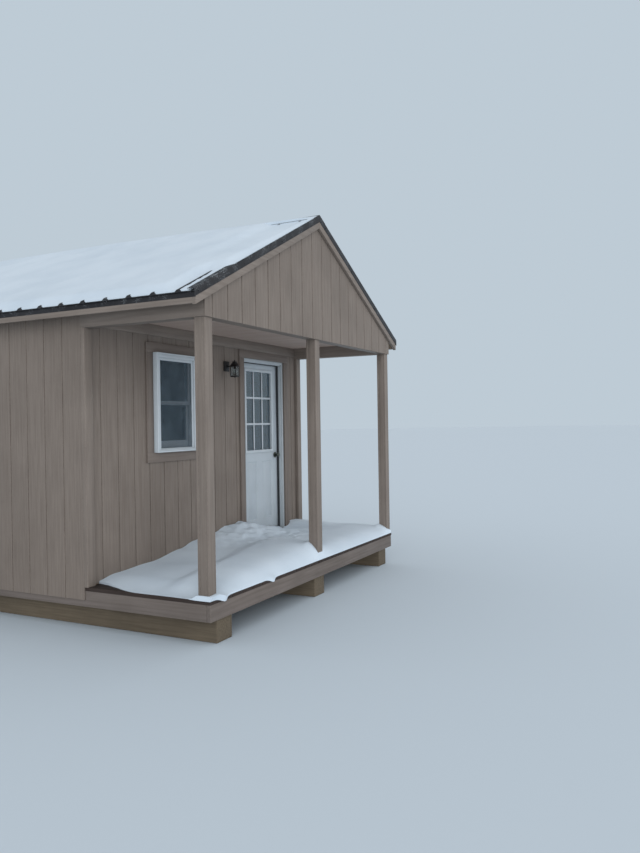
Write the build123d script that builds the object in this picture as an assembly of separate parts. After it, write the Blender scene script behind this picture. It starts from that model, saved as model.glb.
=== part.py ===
from build123d import *
from math import atan2, cos, sin
import os

# Sizes are in millimetres. The hut is built of timber in inch sizes.
# Frame: +Z up, +X to the right seen from the porch, the porch faces -Y.
# The origin is the middle of the footprint, on the ground under the skids.
inch = 25.4

# Whole hut
hut_width = 144 * inch
hut_length = 192 * inch
porch_depth = 48 * inch
wall_over_door = 8.75 * inch
roof_rise = 6
roof_run = 12

# Timber and sheet
siding = 0.5 * inch
stud_depth = 3.5 * inch
lining = 0.5 * inch
board = 0.75 * inch
post_size = 3.75 * inch
joist_thickness = 1.5 * inch
joist_depth = 5.5 * inch
joist_spacing = 16 * inch
floor_sheet = 0.75 * inch
siding_lap = 4 * inch

# Skids
skid_width = 8 * inch
skid_height = 7.25 * inch
skid_side_inset = 5 * inch
skid_end_inset = 1 * inch

# Porch and ceilings, whose heights are counted down from the top of the walls
header_depth = 6.25 * inch
wall_post_width = 3.5 * inch
wall_post_depth = 1.5 * inch
frieze_thickness = 0.75 * inch
ceiling_drop = 1.25 * inch
ceiling_sheet = 0.5 * inch

# Roof
roof_panel = 2.75 * inch
eave_overhang = 6 * inch
rake_board_thickness = 1.25 * inch
rake_board_depth = 3.5 * inch
fascia_depth = 3.5 * inch
metal_sheet = 3
rib_height = 0.75 * inch
rib_spacing = 9 * inch
rib_from_front_rake = 5.875 * inch
rib_foot = 2.25 * inch
rib_crest = 0.75 * inch
metal_overhang = 0.5 * inch
trim_sheet = 3
rake_trim_drop = 2.25 * inch
rake_trim_flange = 2.5 * inch
eave_trim_drop = 1.75 * inch
ridge_cap_flange = 5 * inch

# Window
window_from_side = 34.25 * inch
window_width = 24 * inch
window_height = 36 * inch
window_under_door_head = 2.5 * inch
window_proud = 2.5 * inch
window_depth = 4.5 * inch
window_jamb_face = 2.5 * inch
window_head_face = 2.45 * inch
window_sill_face = 1.2 * inch
sash_stile = 1.2 * inch
sash_bottom_rail = 2.9 * inch
meeting_rail = 1.4 * inch
sash_depth = 1.1 * inch
sash_recess = 1.55 * inch
sash_fit = 0.3
pane = 5

# Door and its frame, set from the hut's right side
door_frame_from_side = 15 * inch
door_frame_width = 34.5 * inch
door_frame_height = 79.75 * inch
jamb = 1 * inch
door_stop = 0.5 * inch
door_gap = 5
door_thickness = 1.75 * inch
sill_height = 1 * inch
sill_proud = 1 * inch
casing_width = 3.5 * inch
casing_thickness = 0.75 * inch

# Glass in the door
lite_width = 24 * inch
lite_height = 37.6 * inch
lite_under_door_head = 4.05 * inch
lite_frame_face = 1.2 * inch
lite_frame_proud = 0.35 * inch

# Knob and hinges
knob_height = 36.5 * inch
knob_backset = 2.4 * inch
knob_bore_radius = 27
knob_fit = 0.3
rose_radius = 33
rose_depth = 9
knob_neck_radius = 12
knob_neck = 22
knob_radius = 27
knob_depth = 26
bottom_hinge = 9 * inch
top_hinge_under_door_head = 10.75 * inch
hinge_length = 89
hinge_leaf_width = 36
hinge_leaf = 2.2
knuckle_radius = 6
knuckle_gap = 1
pin_radius = 3
pin_fit = 0.3

# Porch light, beside the door
light_from_door_frame = 12.9 * inch
light_under_door_head = 5.75 * inch
light_plate_width = 3.8 * inch
light_plate_height = 4.2 * inch
light_plate = 0.8 * inch
light_gap = 1.9 * inch
light_width = 3.25 * inch
light_body = 7 * inch
light_cap = 2.7 * inch
light_cap_top = 0.9 * inch
light_base = 0.5 * inch
light_base_width = 2.7 * inch
light_arm = 0.6 * inch
light_glass_inset = 0.35 * inch

# Places worked out from the sizes above
side = hut_width / 2
front = -hut_length / 2
rear = hut_length / 2
floor_level = skid_height + joist_depth + floor_sheet
wall_thickness = siding + stud_depth + lining
porch_wall = front + porch_depth
frame_side = side - siding
inner_side = side - wall_thickness
slope = atan2(roof_rise, roof_run)
beam_inner = frame_side - post_size
door_end = side - door_frame_from_side
door_start = door_end - door_frame_width
door_top = floor_level + door_frame_height
wall_top = door_top + wall_over_door
beam_bottom = wall_top - header_depth
header_front = front + siding
header_rear = header_front + post_size
top_hinge = door_frame_height - top_hinge_under_door_head
hinge_heights = (bottom_hinge, (bottom_hinge + top_hinge) / 2, top_hinge)
eave_side = side + eave_overhang
metal_side = eave_side + trim_sheet + metal_overhang
rake_front = front - rake_board_thickness
rake_rear = rear + rake_board_thickness


def block(x0, x1, y0, y1, z0, z1):
    """A box between two corners."""
    size = Box(x1 - x0, y1 - y0, z1 - z0)
    return Pos((x0 + x1) / 2, (y0 + y1) / 2, (z0 + z1) / 2) * size


def slab_across(points, y0, y1):
    """An outline of (x, z) points, drawn along Y from y0 to y1."""
    outline = make_face(Polyline(*[(x, y0, z) for x, z in points], close=True))
    return extrude(outline, amount=y1 - y0, dir=(0, 1, 0))


def mirrored(shape):
    """The same piece on the hut's other side."""
    return mirror(shape, about=Plane.YZ)


def save(name, *shapes):
    """Write one named piece of the hut, made of one or more solids."""
    solids = [solid for shape in shapes for solid in shape.solids()]
    piece = solids[0] if len(solids) == 1 else Compound(children=solids)
    piece.label = name
    export_step(piece, "parts/" + name + ".step")


def roof_height(x, above=0):
    """Height of the roof's underside at x, or of a plane that lies above it, square to the slope."""
    return wall_top + (side - abs(x)) * roof_rise / roof_run + above / cos(slope)


def along_slope(points, x_low, x_high):
    """A section of (y, n) points, n square to the roof's underside, run up the left slope."""
    section = Plane(origin=(0, 0, roof_height(0)), x_dir=(0, 1, 0), z_dir=(cos(slope), 0, sin(slope)))
    face = section * make_face(Polyline(*points, close=True))
    run = extrude(face, amount=2 * hut_width, both=True)
    reach = 2 * hut_width
    return run & block(x_low, x_high, -hut_length, hut_length, -reach, reach)


def ring(x0, x1, y0, y1, z0, z1, rail):
    """A rectangular frame standing in the XZ plane."""
    whole = block(x0, x1, y0, y1, z0, z1)
    return whole - block(x0 + rail, x1 - rail, y0, y1, z0 + rail, z1 - rail)


def make_base():
    """Three timber skids, rim boards and joists laid on them, and the floor sheets."""
    left = -side + skid_side_inset
    places = {"skid_left": left, "skid_middle": -skid_width / 2, "skid_right": -left - skid_width}
    for name, x in places.items():
        save(name, block(x, x + skid_width, front + skid_end_inset, rear - skid_end_inset, 0, skid_height))

    top = skid_height + joist_depth
    back = rear - siding
    inside_front = front + joist_thickness
    inside_back = back - joist_thickness
    inside = frame_side - joist_thickness
    front_rim = block(-frame_side, frame_side, front, inside_front, skid_height, top)
    rear_rim = block(-frame_side, frame_side, inside_back, back, skid_height, top)
    save("end_rim_boards", front_rim, rear_rim)
    left_rim = block(-frame_side, -inside, inside_front, inside_back, skid_height, top)
    save("side_rim_boards", left_rim, mirrored(left_rim))
    joists = []
    joist_y = front + joist_spacing
    while joist_y + joist_thickness < inside_back:
        joists.append(block(-inside, inside, joist_y, joist_y + joist_thickness, skid_height, top))
        joist_y += joist_spacing
    save("floor_joists", *joists)

    save("porch_deck", block(-frame_side, frame_side, front, porch_wall, top, floor_level))
    save("room_floor", block(-frame_side, frame_side, porch_wall, back, top, floor_level))


def make_walls():
    """The room's walls, siding outside and lining inside; the siding laps over the floor frame."""
    lap = floor_level - siding_lap
    outline = [
        (-side, lap),
        (-frame_side, lap),
        (-frame_side, floor_level),
        (-inner_side, floor_level),
        (-inner_side, roof_height(inner_side)),
        (-side, wall_top),
    ]
    left_wall = slab_across(outline, porch_wall, rear - wall_thickness)
    save("left_wall", left_wall)
    save("right_wall", mirrored(left_wall))

    rear_wall = block(-side, side, rear - wall_thickness, rear, lap, wall_top)
    rear_wall -= block(-frame_side, frame_side, rear - wall_thickness, rear - siding, lap, floor_level)
    save("rear_wall", rear_wall)
    gable = [(-side, wall_top), (side, wall_top), (0, roof_height(0))]
    save("rear_gable", slab_across(gable, rear - wall_thickness, rear))

    back = porch_wall + wall_thickness
    window_x = -side + window_from_side
    window_top = door_top - window_under_door_head
    window_side = block(-inner_side, door_start, porch_wall, back, floor_level, wall_top)
    window_side -= block(
        window_x, window_x + window_width, porch_wall, back, window_top - window_height, window_top
    )
    save("front_wall_window_side", window_side)
    save("front_wall_door_side", block(door_end, inner_side, porch_wall, back, floor_level, wall_top))
    save("front_wall_over_door", block(door_start, door_end, porch_wall, back, door_top, wall_top))


def make_porch():
    """Posts, header and side beams, the sided gable over them, and the flat ceilings."""
    post_x = {"post_left": -frame_side, "post_middle": -post_size / 2, "post_right": frame_side - post_size}
    for name, x in post_x.items():
        save(name, block(x, x + post_size, header_front, header_rear, floor_level, beam_bottom))

    wall_post_front = porch_wall - wall_post_depth
    wall_post = block(
        -side, -side + wall_post_width, wall_post_front, porch_wall, floor_level, beam_bottom
    )
    save("wall_post_left", wall_post)
    save("wall_post_right", mirrored(wall_post))

    save("porch_header", block(-frame_side, frame_side, header_front, header_rear, beam_bottom, wall_top))
    beam = [
        (-side, beam_bottom),
        (-beam_inner, beam_bottom),
        (-beam_inner, roof_height(beam_inner)),
        (-side, wall_top),
    ]
    left_beam = slab_across(beam, header_rear, porch_wall)
    left_beam += block(-side, -frame_side, header_front, header_rear, beam_bottom, wall_top)
    save("porch_beam_left", left_beam)
    save("porch_beam_right", mirrored(left_beam))

    face = [
        (-side, beam_bottom),
        (side, beam_bottom),
        (side, wall_top),
        (0, roof_height(0)),
        (-side, wall_top),
    ]
    gable = slab_across(face, front, header_front)
    framed = [(-side, wall_top), (side, wall_top), (0, roof_height(0))]
    gable += slab_across(framed, header_front, header_rear)
    save("porch_gable", gable)

    low = wall_top - ceiling_drop
    high = low + ceiling_sheet
    frieze_front = porch_wall - frieze_thickness
    frieze_low = door_top + casing_width
    save("porch_frieze", block(-beam_inner, beam_inner, frieze_front, porch_wall, frieze_low, low))
    save("porch_ceiling", block(-beam_inner, beam_inner, header_rear, porch_wall, low, high))
    room_front = porch_wall + wall_thickness
    room_rear = rear - wall_thickness
    save("room_ceiling", block(-inner_side, inner_side, room_front, room_rear, low, high))


def metal_section():
    """One slope's ribbed sheet, as a closed section of (y, n) points from front to rear."""
    low = roof_panel
    pan = low + metal_sheet
    crest = low + rib_height
    points = [(rake_front, low), (rake_front, pan)]
    first = rake_front + rib_from_front_rake
    ribs = int((rake_rear - rib_foot / 2 - first) // rib_spacing)
    for number in range(ribs + 1):
        middle = first + number * rib_spacing
        points += [
            (middle - rib_foot / 2, pan),
            (middle - rib_crest / 2, crest),
            (middle + rib_crest / 2, crest),
            (middle + rib_foot / 2, pan),
        ]
    points += [(rake_rear, pan), (rake_rear, low)]
    return points


def make_roof():
    """Roof panels, ribbed metal sheets, rake boards, fascias, and the bent edge trims."""
    panel_side = eave_side - board
    panel = [
        (-panel_side, roof_height(panel_side)),
        (0, roof_height(0)),
        (0, roof_height(0, roof_panel)),
        (-panel_side, roof_height(panel_side, roof_panel)),
    ]
    left_panel = slab_across(panel, front, rear)
    save("roof_panel_left", left_panel)
    save("roof_panel_right", mirrored(left_panel))

    left_metal = along_slope(metal_section(), -metal_side, 0)
    save("roof_metal_left", left_metal)
    save("roof_metal_right", mirrored(left_metal))

    board_low = roof_panel - rake_board_depth
    for end, y0, y1 in (("front", rake_front, front), ("rear", rear, rake_rear)):
        section = [(y0, board_low), (y1, board_low), (y1, roof_panel), (y0, roof_panel)]
        left_board = along_slope(section, -eave_side, 0)
        save("rake_board_" + end + "_left", left_board)
        save("rake_board_" + end + "_right", mirrored(left_board))

    fascia_top = roof_height(eave_side, roof_panel)
    fascia = block(-eave_side, -panel_side, front, rear, fascia_top - fascia_depth, fascia_top)
    save("fascia_left", fascia)
    save("fascia_right", mirrored(fascia))

    trim_side = eave_side + trim_sheet
    trim_top = roof_height(trim_side, roof_panel)
    eave_trim = block(-trim_side, -eave_side, rake_front, rake_rear, trim_top - eave_trim_drop, trim_top)
    save("eave_trim_left", eave_trim)
    save("eave_trim_right", mirrored(eave_trim))

    crest = roof_panel + rib_height
    top = crest + trim_sheet
    for end, edge, way in (("front", rake_front, 1), ("rear", rake_rear, -1)):
        section = [
            (edge - way * trim_sheet, top - rake_trim_drop),
            (edge, top - rake_trim_drop),
            (edge, crest),
            (edge + way * rake_trim_flange, crest),
            (edge + way * rake_trim_flange, top),
            (edge - way * trim_sheet, top),
        ]
        left_trim = along_slope(section, -metal_side, 0)
        save("rake_trim_" + end, left_trim + mirrored(left_trim))

    cap_side = ridge_cap_flange * cos(slope)
    cap = [
        (-cap_side, roof_height(cap_side, top)),
        (0, roof_height(0, top)),
        (cap_side, roof_height(cap_side, top)),
        (cap_side, roof_height(cap_side, top + trim_sheet)),
        (0, roof_height(0, top + trim_sheet)),
        (-cap_side, roof_height(cap_side, top + trim_sheet)),
    ]
    save("ridge_cap", slab_across(cap, rake_front - trim_sheet, rake_rear + trim_sheet))


def make_window():
    """A single-hung window: its frame, two sashes in two planes, their panes, and the casing."""
    x0 = -side + window_from_side
    x1 = x0 + window_width
    z1 = door_top - window_under_door_head
    z0 = z1 - window_height
    y0 = porch_wall - window_proud
    y1 = y0 + window_depth
    inner_x0 = x0 + window_jamb_face
    inner_x1 = x1 - window_jamb_face
    low = z0 + window_sill_face
    high = z1 - window_head_face
    frame = block(x0, x1, y0, y1, z0, z1) - block(inner_x0, inner_x1, y0, y1, low, high)
    save("window_frame", frame)

    sash_x0 = inner_x0 + sash_fit
    sash_x1 = inner_x1 - sash_fit
    pane_x0 = sash_x0 + sash_stile
    pane_x1 = sash_x1 - sash_stile
    meeting_low = (z0 + z1 - meeting_rail) / 2
    meeting_high = meeting_low + meeting_rail
    upper_y = y0 + sash_recess
    lower_y = upper_y + sash_depth + sash_fit
    upper = block(sash_x0, sash_x1, upper_y, upper_y + sash_depth, meeting_low, high)
    upper -= block(pane_x0, pane_x1, upper_y, upper_y + sash_depth, meeting_high, high)
    lower = block(sash_x0, sash_x1, lower_y, lower_y + sash_depth, low, meeting_high)
    lower_pane_low = low + sash_bottom_rail
    lower -= block(pane_x0, pane_x1, lower_y, lower_y + sash_depth, lower_pane_low, meeting_low)
    save("window_sashes", upper, lower)

    pane_inset = (sash_depth - pane) / 2
    panes = [
        block(pane_x0, pane_x1, y + pane_inset, y + pane_inset + pane, bottom, top)
        for y, bottom, top in (
            (upper_y, meeting_high, high),
            (lower_y, lower_pane_low, meeting_low),
        )
    ]
    save("window_glass", *panes)

    casing = ring(
        x0 - casing_width,
        x1 + casing_width,
        porch_wall - casing_thickness,
        porch_wall,
        z0 - casing_width,
        z1 + casing_width,
        casing_width,
    )
    save("window_casing", casing)


def make_doorway():
    """Jambs and head with their stops, the sill, the casing, and the hinge leaves on the jamb."""
    x0 = door_start
    x1 = door_end
    under_head = door_top - jamb
    back = porch_wall + wall_thickness
    stop_back = back - door_thickness - door_gap
    stop_side = x0 + jamb + door_stop
    left_jamb = block(x0, x0 + jamb, porch_wall, back, floor_level, under_head)
    left_jamb += block(
        x0 + jamb, stop_side, porch_wall, stop_back, floor_level + sill_height, under_head
    )
    middle = (x0 + x1) / 2
    right_jamb = mirror(left_jamb, about=Plane.YZ.offset(middle))
    head = block(x0, x1, porch_wall, back, under_head, door_top)
    head += block(
        stop_side, x1 - jamb - door_stop, porch_wall, stop_back, under_head - door_stop, under_head
    )

    leaf_y0 = back - hinge_leaf_width
    for height in hinge_heights:
        z0 = floor_level + height
        z1 = z0 + hinge_length
        left_jamb -= block(x0 + jamb - hinge_leaf, x0 + jamb, leaf_y0, back, z0, z1)
    save("door_jamb_left", left_jamb)
    save("door_jamb_right", right_jamb)
    save("door_head", head)

    sill = block(x0 + jamb, x1 - jamb, porch_wall - sill_proud, back, floor_level, floor_level + sill_height)
    save("door_sill", sill)

    casing_front = porch_wall - casing_thickness
    casing_x0 = x0 - casing_width
    casing_x1 = x1 + casing_width
    casing_top = door_top + casing_width
    casing = block(casing_x0, casing_x1, casing_front, porch_wall, floor_level, casing_top)
    casing -= block(x0, x1, casing_front, porch_wall, floor_level, door_top)
    save("door_casing", casing)


def make_hinges():
    """Three butt hinges: the pinned leaves on the jamb, and the leaves that turn with the door."""
    jamb_face = door_start + jamb
    back = porch_wall + wall_thickness
    pin_x = jamb_face + door_gap / 2
    pin_y = back + knuckle_radius + knuckle_gap
    leaf_y0 = back - hinge_leaf_width
    part = hinge_length / 3
    fixed = []
    turning = []
    for height in hinge_heights:
        z0 = floor_level + height
        z1 = z0 + hinge_length
        jamb_leaf = block(jamb_face - hinge_leaf, jamb_face, leaf_y0, pin_y, z0, z1)
        door_x = jamb_face + door_gap
        door_leaf = block(door_x, door_x + hinge_leaf, leaf_y0, pin_y, z0, z1)
        pin = Pos(pin_x, pin_y, (z0 + z1) / 2) * Cylinder(pin_radius, hinge_length)
        ends = [
            Pos(pin_x, pin_y, z) * Cylinder(knuckle_radius, part - pin_fit)
            for z in (z0 + (part - pin_fit) / 2, z1 - (part - pin_fit) / 2)
        ]
        middle = Pos(pin_x, pin_y, (z0 + z1) / 2) * Cylinder(knuckle_radius, part - pin_fit)
        bore = Pos(pin_x, pin_y, (z0 + z1) / 2) * Cylinder(pin_radius + pin_fit, hinge_length)
        turn_room = block(
            jamb_face - hinge_leaf,
            pin_x + knuckle_radius,
            back,
            pin_y + knuckle_radius,
            z0 + part - pin_fit,
            z1 - part + pin_fit,
        )
        fixed.append((jamb_leaf - turn_room) + pin + ends[0] + ends[1])
        end_room = [
            block(door_x - door_gap, door_x + hinge_leaf, back, pin_y + knuckle_radius, low, high)
            for low, high in ((z0, z0 + part), (z1 - part, z1))
        ]
        turning.append((door_leaf - end_room[0] - end_room[1]) + middle - bore)
    save("hinge_frame_leaves", *fixed)
    save("hinge_door_leaves", *turning)


def make_door():
    """The steel-faced door: slab, framed half glass, and a knob on each face."""
    x0 = door_start + jamb + door_gap
    x1 = door_end - jamb - door_gap
    y1 = porch_wall + wall_thickness
    y0 = y1 - door_thickness
    z0 = floor_level + sill_height + door_gap
    z1 = door_top - jamb - door_gap
    lite_x0 = (x0 + x1 - lite_width) / 2
    lite_x1 = lite_x0 + lite_width
    lite_z1 = door_top - lite_under_door_head
    lite_z0 = lite_z1 - lite_height
    cut = lite_frame_face / 2
    slab = block(x0, x1, y0, y1, z0, z1)
    slab -= block(lite_x0 + cut, lite_x1 - cut, y0, y1, lite_z0 + cut, lite_z1 - cut)
    for height in hinge_heights:
        low = floor_level + height
        slab -= block(x0, x0 + hinge_leaf, y1 - hinge_leaf_width, y1, low, low + hinge_length)
    knob_x = x1 - knob_backset
    knob_z = floor_level + knob_height
    across = Rot(90, 0, 0)
    bore_place = Pos(knob_x, (y0 + y1) / 2, knob_z) * across
    slab -= bore_place * Cylinder(knob_bore_radius, door_thickness)
    save("door_slab", slab)

    frame = block(lite_x0 + cut, lite_x1 - cut, y0, y1, lite_z0 + cut, lite_z1 - cut)
    frame += block(lite_x0, lite_x1, y0 - lite_frame_proud, y0, lite_z0, lite_z1)
    frame += block(lite_x0, lite_x1, y1, y1 + lite_frame_proud, lite_z0, lite_z1)
    face = lite_frame_face
    glass_x0 = lite_x0 + face
    glass_x1 = lite_x1 - face
    glass_z0 = lite_z0 + face
    glass_z1 = lite_z1 - face
    frame -= block(glass_x0, glass_x1, y0 - lite_frame_proud, y1 + lite_frame_proud, glass_z0, glass_z1)
    save("door_lite_frame", frame)
    glass_y = (y0 + y1 - pane) / 2
    save("door_glass", block(glass_x0, glass_x1, glass_y, glass_y + pane, glass_z0, glass_z1))

    lock = bore_place * Cylinder(knob_bore_radius - knob_fit, door_thickness)
    for face_y, way in ((y0, -1), (y1, 1)):
        rose_y = face_y + way * rose_depth / 2
        neck_y = face_y + way * (rose_depth + knob_neck / 2)
        grip_y = face_y + way * (rose_depth + knob_neck + knob_depth / 2)
        lock += Pos(knob_x, rose_y, knob_z) * across * Cylinder(rose_radius, rose_depth)
        lock += Pos(knob_x, neck_y, knob_z) * across * Cylinder(knob_neck_radius, knob_neck)
        lock += Pos(knob_x, grip_y, knob_z) * across * Cylinder(knob_radius, knob_depth)
    save("door_knob", lock)


def make_light():
    """The lantern beside the door: wall plate, arm, roof and base, and its glass body."""
    x = door_start - light_from_door_frame
    z = door_top - light_under_door_head
    wall = porch_wall
    top = z + light_body / 2
    bottom = z - light_body / 2
    cap_low = top - light_cap
    arm_middle = cap_low + light_arm / 2
    plate = block(
        x - light_plate_width / 2,
        x + light_plate_width / 2,
        wall - light_plate,
        wall,
        arm_middle - light_plate_height / 2,
        arm_middle + light_plate_height / 2,
    )
    body_y = wall - light_plate - light_gap - light_width / 2
    roof = loft(
        [
            Pos(x, body_y, cap_low) * Rectangle(light_width, light_width),
            Pos(x, body_y, top) * Rectangle(light_cap_top, light_cap_top),
        ]
    )
    base_middle = bottom + light_base / 2
    base = Pos(x, body_y, base_middle) * Box(light_base_width, light_base_width, light_base)
    arm = block(
        x - light_arm / 2, x + light_arm / 2, body_y, wall - light_plate, cap_low, cap_low + light_arm
    )
    half = light_width / 2 - light_glass_inset
    stem = Pos(x, body_y, (bottom + cap_low) / 2) * Cylinder(light_arm / 2, cap_low - bottom)
    save("porch_light", plate + roof + base + arm + stem)
    glass = block(x - half, x + half, body_y - half, body_y + half, bottom + light_base, cap_low)
    glass -= Pos(x, body_y, (bottom + cap_low) / 2) * Cylinder(light_arm / 2, cap_low - bottom)
    save("porch_light_glass", glass)


os.makedirs("parts", exist_ok=True)
make_base()
make_walls()
make_porch()
make_roof()
make_window()
make_doorway()
make_hinges()
make_door()
make_light()
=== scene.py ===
import math

import bmesh
import bpy
from mathutils import Matrix, Vector, noise


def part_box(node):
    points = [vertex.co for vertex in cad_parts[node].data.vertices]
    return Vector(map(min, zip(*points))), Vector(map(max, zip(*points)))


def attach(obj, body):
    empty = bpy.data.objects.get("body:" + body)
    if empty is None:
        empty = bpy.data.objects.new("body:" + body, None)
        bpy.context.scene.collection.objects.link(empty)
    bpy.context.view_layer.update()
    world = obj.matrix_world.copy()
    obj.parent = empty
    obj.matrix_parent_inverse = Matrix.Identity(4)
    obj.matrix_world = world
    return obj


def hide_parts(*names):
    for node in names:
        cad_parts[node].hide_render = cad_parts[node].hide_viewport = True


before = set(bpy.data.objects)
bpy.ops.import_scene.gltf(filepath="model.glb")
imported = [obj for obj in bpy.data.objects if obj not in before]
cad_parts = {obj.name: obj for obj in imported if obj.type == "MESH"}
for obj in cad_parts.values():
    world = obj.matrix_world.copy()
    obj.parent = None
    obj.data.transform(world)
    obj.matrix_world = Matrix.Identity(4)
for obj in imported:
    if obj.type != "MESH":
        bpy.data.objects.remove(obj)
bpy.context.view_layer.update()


# Camera: the eye stands off the hut's left front corner, at a standing person's height.
# Its angles and lens come from the lines of the walls, posts and roof in the photograph.
eye = Vector((-6.2426, -5.585, 1.6337))
turn = math.radians(63.28)
pitch_down = math.radians(0.23)
roll_left = math.radians(0.86)
image_height = 853
focal_pixels = 734.87
sensor = 36.0

level_right = Vector((math.cos(turn), -math.sin(turn), 0))
level_ahead = Vector((math.sin(turn), math.cos(turn), 0))
ahead = math.cos(pitch_down) * level_ahead - math.sin(pitch_down) * Vector((0, 0, 1))
level_up = level_right.cross(ahead)
camera_right = math.cos(roll_left) * level_right - math.sin(roll_left) * level_up
camera_up = math.sin(roll_left) * level_right + math.cos(roll_left) * level_up
bpy.ops.object.camera_add()
camera = bpy.context.object
camera.name = "photo_camera"
axes = Matrix((camera_right, camera_up, -ahead)).transposed()
camera.matrix_world = Matrix.Translation(eye) @ axes.to_4x4()
camera.data.sensor_fit = "AUTO"
camera.data.sensor_width = sensor
camera.data.lens = focal_pixels * sensor / image_height
camera.data.clip_end = 200
bpy.context.scene.camera = camera


# Skids: three treated timbers, 8 by 7 1/4 in, that carry the floor frame and rest on the ground.
# They are rough-sawn, with eased edges, and run the whole length of the hut.
def alone(piece):
    """Selects one piece and makes it active."""
    bpy.ops.object.select_all(action="DESELECT")
    piece.select_set(True)
    bpy.context.view_layer.objects.active = piece


def open_faces(piece, wanted):
    """Opens a piece in edit mode with the faces selected whose middle and normal are wanted."""
    alone(piece)
    bpy.ops.object.mode_set(mode="EDIT")
    bpy.ops.mesh.select_mode(type="FACE")
    bpy.ops.mesh.select_all(action="DESELECT")
    mesh = bmesh.from_edit_mesh(piece.data)
    for face in mesh.faces:
        if wanted(face.calc_center_median(), face.normal):
            face.select_set(True)
    bmesh.update_edit_mesh(piece.data)


def close_faces():
    """Leaves edit mode."""
    bpy.ops.object.mode_set(mode="OBJECT")


def slice_all(piece, place, normal, **settings):
    """Cuts all of a piece's faces along a plane."""
    open_faces(piece, lambda middle, facing: True)
    bpy.ops.mesh.bisect(plane_co=place, plane_no=normal, **settings)
    close_faces()


def soften(piece, width, segments=2):
    """Eases a piece's edges."""
    alone(piece)
    ease = piece.modifiers.new("ease", "BEVEL")
    ease.width = width
    ease.segments = segments
    ease.limit_method = "ANGLE"
    ease.angle_limit = math.radians(25)
    bpy.ops.object.modifier_apply(modifier="ease")
    bpy.ops.object.shade_smooth_by_angle(angle=math.radians(35))


def clean_copy(node):
    """A copy of a solid of the frame, with its triangles merged into whole faces."""
    piece = bpy.data.objects.new(node + "_dressed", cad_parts[node].data.copy())
    bpy.context.scene.collection.objects.link(piece)
    piece.data.materials.clear()
    alone(piece)
    bpy.ops.mesh.customdata_custom_splitnormals_clear()
    open_faces(piece, lambda middle, normal: True)
    bpy.ops.mesh.remove_doubles(threshold=0.00005)
    bpy.ops.mesh.select_all(action="SELECT")
    bpy.ops.mesh.dissolve_limited(angle_limit=math.radians(1))
    close_faces()
    return piece


def dressed(node, edge, segments=2):
    """A copy of a solid of the frame, with whole faces and eased edges."""
    piece = clean_copy(node)
    soften(piece, edge, segments)
    return piece


def feed(tree, kind, inputs, **settings):
    """Adds a node, sets its properties, and sets or links its inputs."""
    added = tree.nodes.new(kind)
    for name, value in settings.items():
        setattr(added, name, value)
    for name, value in inputs.items():
        if isinstance(value, bpy.types.NodeSocket):
            tree.links.new(value, added.inputs[name])
        else:
            added.inputs[name].default_value = value
    return added


def chip(red, green, blue):
    """A colour as a paint chip gives it, 0 to 255, for a shader's socket."""
    parts = [value / 255 for value in (red, green, blue)]
    return tuple(p / 12.92 if p <= 0.04045 else ((p + 0.055) / 1.055) ** 2.4 for p in parts) + (1,)


def blank_material(name):
    """A new material with its shader: returns the material, its tree and the shader."""
    material = bpy.data.materials.new(name)
    material.use_nodes = True
    return material, material.node_tree, material.node_tree.nodes["Principled BSDF"]


def new_group(name, inputs, outputs):
    """A shader group with named sockets: returns its tree and its two end nodes."""
    tree = bpy.data.node_groups.new(name, "ShaderNodeTree")
    for socket, kind, value in inputs:
        made = tree.interface.new_socket(name=socket, in_out="INPUT", socket_type=kind)
        if value is not None:
            made.default_value = value
    for socket in outputs:
        tree.interface.new_socket(name=socket, in_out="OUTPUT", socket_type="NodeSocketFloat")
    return tree, tree.nodes.new("NodeGroupInput"), tree.nodes.new("NodeGroupOutput")


def ramp(tree, value, low, high):
    """Stretches a value so that low gives 0 and high gives 1, with soft ends."""
    scale = feed(
        tree,
        "ShaderNodeMapRange",
        {"Value": value, "From Min": low, "From Max": high},
        interpolation_type="SMOOTHSTEP",
    )
    return scale.outputs["Result"]


def blend_colour(tree, factor, first, second):
    """Mixes two colours by a factor."""
    mix = feed(tree, "ShaderNodeMix", {"Factor": factor, 6: first, 7: second}, data_type="RGBA")
    return mix.outputs[2]


def calculate(tree, operation, first, second):
    """One sum on two values."""
    return feed(tree, "ShaderNodeMath", {0: first, 1: second}, operation=operation).outputs[0]


# Grain: long fibres that run along the vector's Z, with a saw's fuzz across them.
# Every board, post and panel has it, finer or coarser, in its own colours.
def mottle(tree, vector, scale, detail, roughness=0.5):
    """A mottled pattern's value."""
    inputs = {"Vector": vector, "Scale": scale, "Detail": detail, "Roughness": roughness}
    return feed(tree, "ShaderNodeTexNoise", inputs).outputs["Fac"]


grain, grain_in, grain_out = new_group(
    "sawn_grain",
    [("Vector", "NodeSocketVector", None), ("Fineness", "NodeSocketFloat", 60.0)],
    ["Streaks", "Relief"],
)
long_way = feed(grain, "ShaderNodeMapping", {"Vector": grain_in.outputs["Vector"], "Scale": (1, 1, 0.035)})
fibres = mottle(grain, long_way.outputs[0], grain_in.outputs["Fineness"], 6.0, 0.62)
short_way = feed(grain, "ShaderNodeMapping", {"Vector": grain_in.outputs["Vector"], "Scale": (1, 1, 0.3)})
fuzz_scale = calculate(grain, "MULTIPLY", grain_in.outputs["Fineness"], 5.0)
fuzz = mottle(grain, short_way.outputs[0], fuzz_scale, 3.0)
streaks = ramp(grain, fibres, 0.3, 0.72)
grain.links.new(streaks, grain_out.inputs["Streaks"])
half_fuzz = calculate(grain, "MULTIPLY", fuzz, 0.5)
grain.links.new(calculate(grain, "ADD", streaks, half_fuzz), grain_out.inputs["Relief"])


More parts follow.
